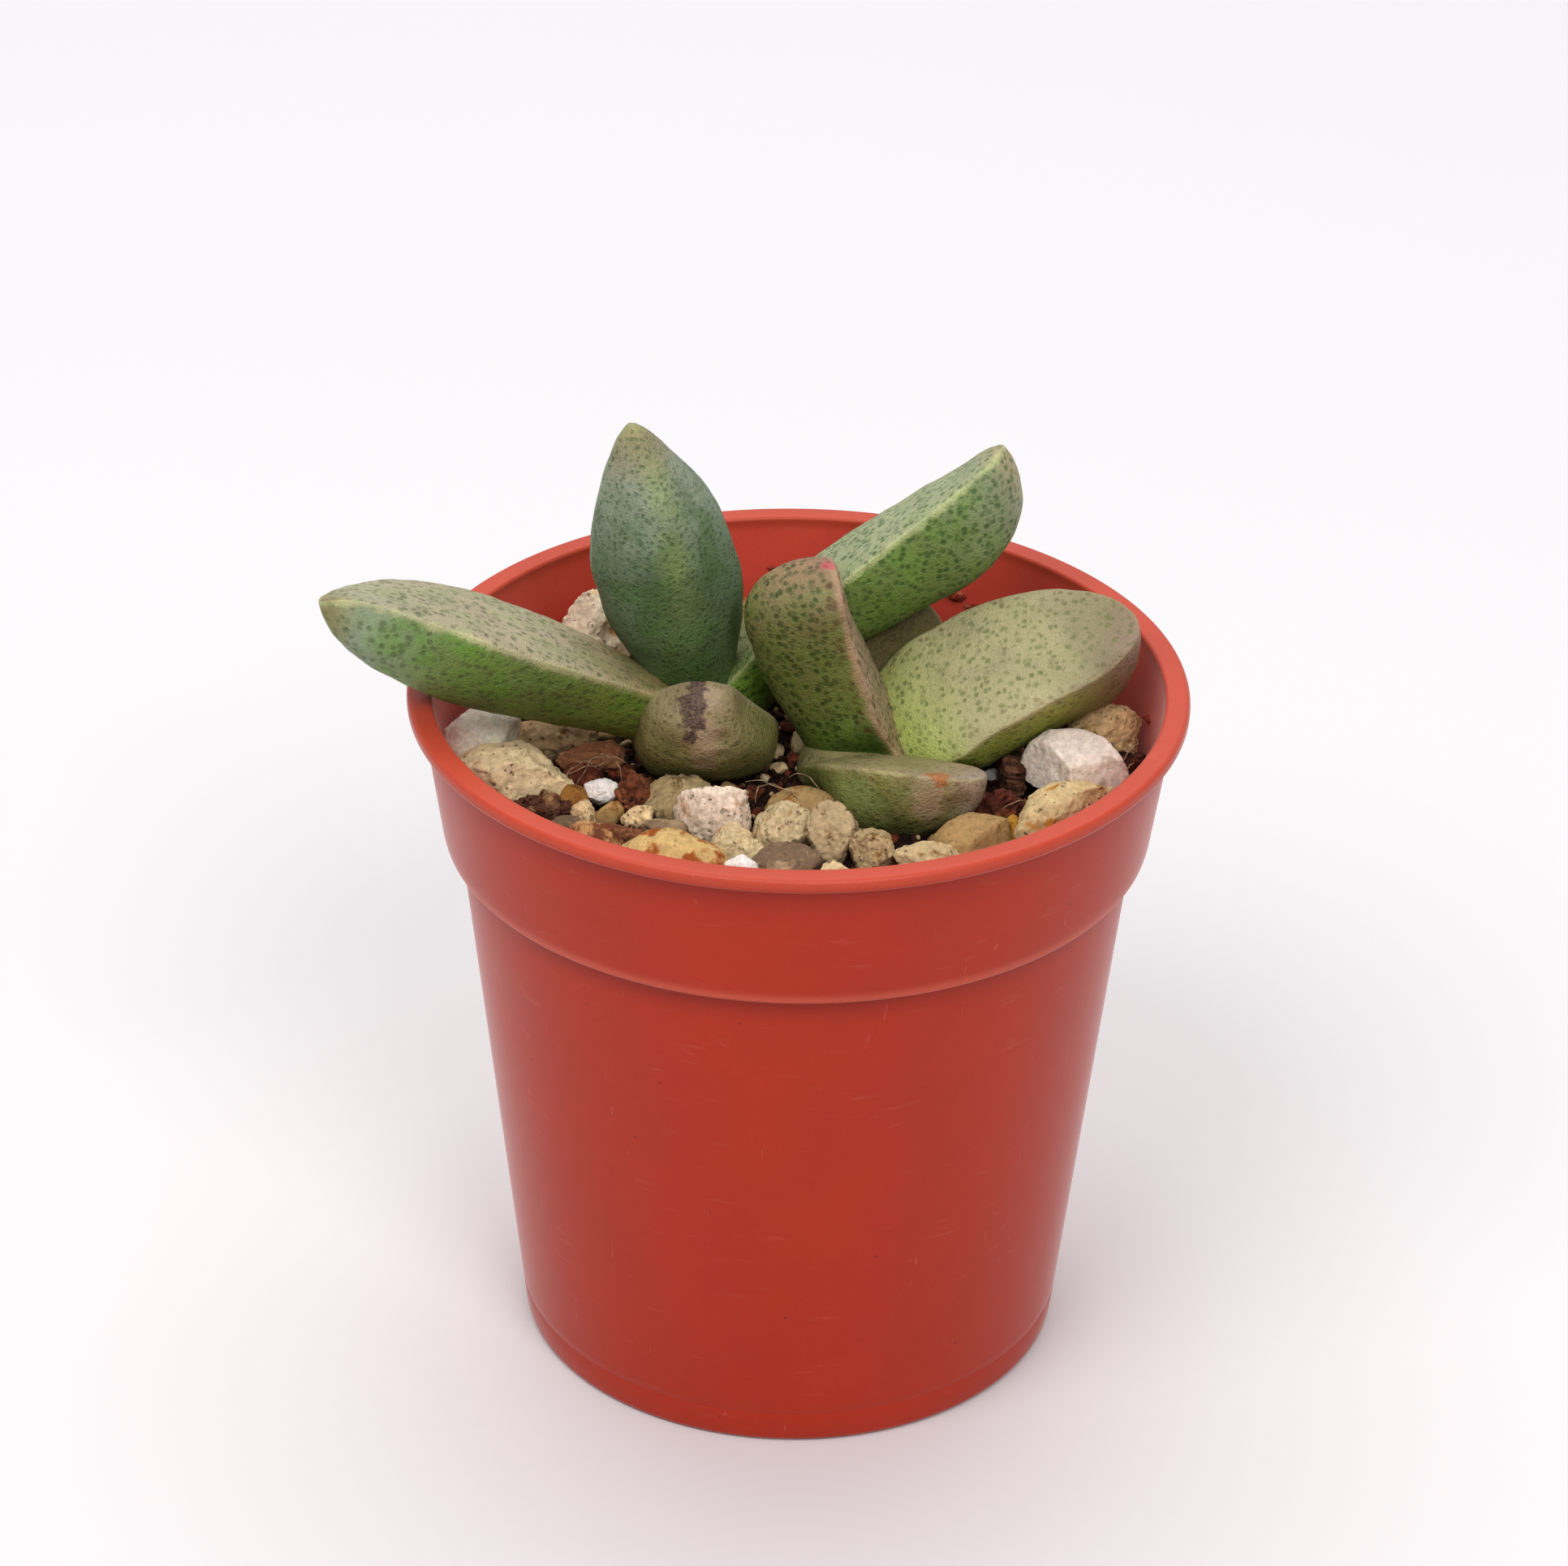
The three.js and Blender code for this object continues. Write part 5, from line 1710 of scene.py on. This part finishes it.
def camera_matrix():
    """Looks down on the pot from the front, then turns a little to frame it as the photograph does."""
    elevation, pitch, yaw, roll = (math.radians(CAMERA[k]) for k in ("elevation", "pitch", "yaw", "roll"))
    forward = Vector((0, math.cos(elevation), -math.sin(elevation)))
    right = Vector((1, 0, 0))
    aimed = Matrix((right, right.cross(forward), forward))
    for angle, axis in ((roll, "Z"), (-yaw, "Y"), (pitch, "X")):
        aimed = Matrix.Rotation(angle, 3, axis) @ aimed
    axes = Matrix((aimed[0], aimed[1], -aimed[2])).transposed()
    place = (Vector((0, 0, CAMERA["look_height"])) - forward * CAMERA["distance"]) * MM
    return Matrix.Translation(place) @ axes.to_4x4()


def area_light(name, place, target, size, power):
    light = bpy.data.lights.new(name, "AREA")
    light.shape = "DISK"
    light.size = size
    light.energy = power
    made = new_object(name, light)
    made.location = place
    made.rotation_euler = (Vector(target) - Vector(place)).to_track_quat("-Z", "Y").to_euler()


def floor_material(color):
    material, tree, surface = new_material("pale_floor")
    fine = noise_value(tree, millimetres(tree), 0.02, 2.0)
    tree.links.new(tinted(tree, color, fine, "#e9e6e8", 0.04), surface.inputs["Base Color"])
    surface.inputs["Roughness"].default_value = 0.7
    surface.inputs["Specular IOR Level"].default_value = 0.2
    return material


class PLANT_OT_set_stage(bpy.types.Operator):
    """Lay a pale floor, hang soft lights and place the camera"""

    bl_idname = "plant.set_stage"
    bl_label = "Set Stage"

    def execute(self, context):
        scene = context.scene
        settings = scene.plant_stage
        half = settings.floor_size / 2 / MM
        corners = [(-half, -half, 0), (half, -half, 0), (half, half, 0), (-half, half, 0)]
        floor = new_object("floor", mesh_of("floor", corners, [(0, 1, 2, 3)]))
        floor.data.materials.append(floor_material(tuple(settings.floor_color)))
        world = bpy.data.worlds.new("surround")
        world.use_nodes = True
        background = world.node_tree.nodes["Background"].inputs
        background["Color"].default_value = linear("#fdfbff")
        background["Strength"].default_value = settings.surround
        scene.world = world
        scene.view_settings.view_transform = "Standard"
        scene.view_settings.gamma = 1 / settings.contrast
        scene.view_settings.exposure = settings.exposure
        powers = (settings.fill_power, settings.key_power, settings.front_power)
        for light, power in zip(LIGHTS, powers):
            area_light(*light, power)
        lens = bpy.data.cameras.new("camera")
        lens.sensor_fit = "HORIZONTAL"
        lens.sensor_width = 36
        lens.lens = CAMERA["lens"]
        lens.clip_start = 0.01
        camera = new_object("camera", lens)
        camera.matrix_world = camera_matrix()
        scene.camera = camera
        return {"FINISHED"}


# Panel and registration


OPERATORS = (
    PLANT_OT_make_pot, PLANT_OT_make_soil, PLANT_OT_make_stems, PLANT_OT_make_leaves, PLANT_OT_make_stones,
    PLANT_OT_make_chips, PLANT_OT_make_grit, PLANT_OT_make_fibres, PLANT_OT_make_scraps, PLANT_OT_set_stage,
)
SETTINGS = {
    "plant_pot": PotSettings, "plant_leaves": LeafSettings, "plant_stones": StoneSettings,
    "plant_grit": GritSettings, "plant_stage": StageSettings,
}


class PLANT_PT_sidebar(bpy.types.Panel):
    """The plant's settings and the operators that build it"""

    bl_idname = "PLANT_PT_sidebar"
    bl_label = "Potted Pleiospilos"
    bl_space_type = "VIEW_3D"
    bl_region_type = "UI"
    bl_category = "Plant"

    def draw(self, context):
        for name, group in SETTINGS.items():
            box = self.layout.box()
            for label in group.__annotations__:
                box.prop(getattr(context.scene, name), label)
        for operator in OPERATORS:
            self.layout.operator(operator.bl_idname)


def register():
    for group in SETTINGS.values():
        bpy.utils.register_class(group)
    for name, group in SETTINGS.items():
        setattr(bpy.types.Scene, name, bpy.props.PointerProperty(type=group))
    for operator in OPERATORS:
        bpy.utils.register_class(operator)
    bpy.utils.register_class(PLANT_PT_sidebar)


def unregister():
    bpy.utils.unregister_class(PLANT_PT_sidebar)
    for operator in reversed(OPERATORS):
        bpy.utils.unregister_class(operator)
    for name, group in SETTINGS.items():
        delattr(bpy.types.Scene, name)
        bpy.utils.unregister_class(group)


def main():
    register()
    for operator in OPERATORS:
        group, name = operator.bl_idname.split(".")
        getattr(getattr(bpy.ops, group), name)()


if __name__ == "__main__":
    main()
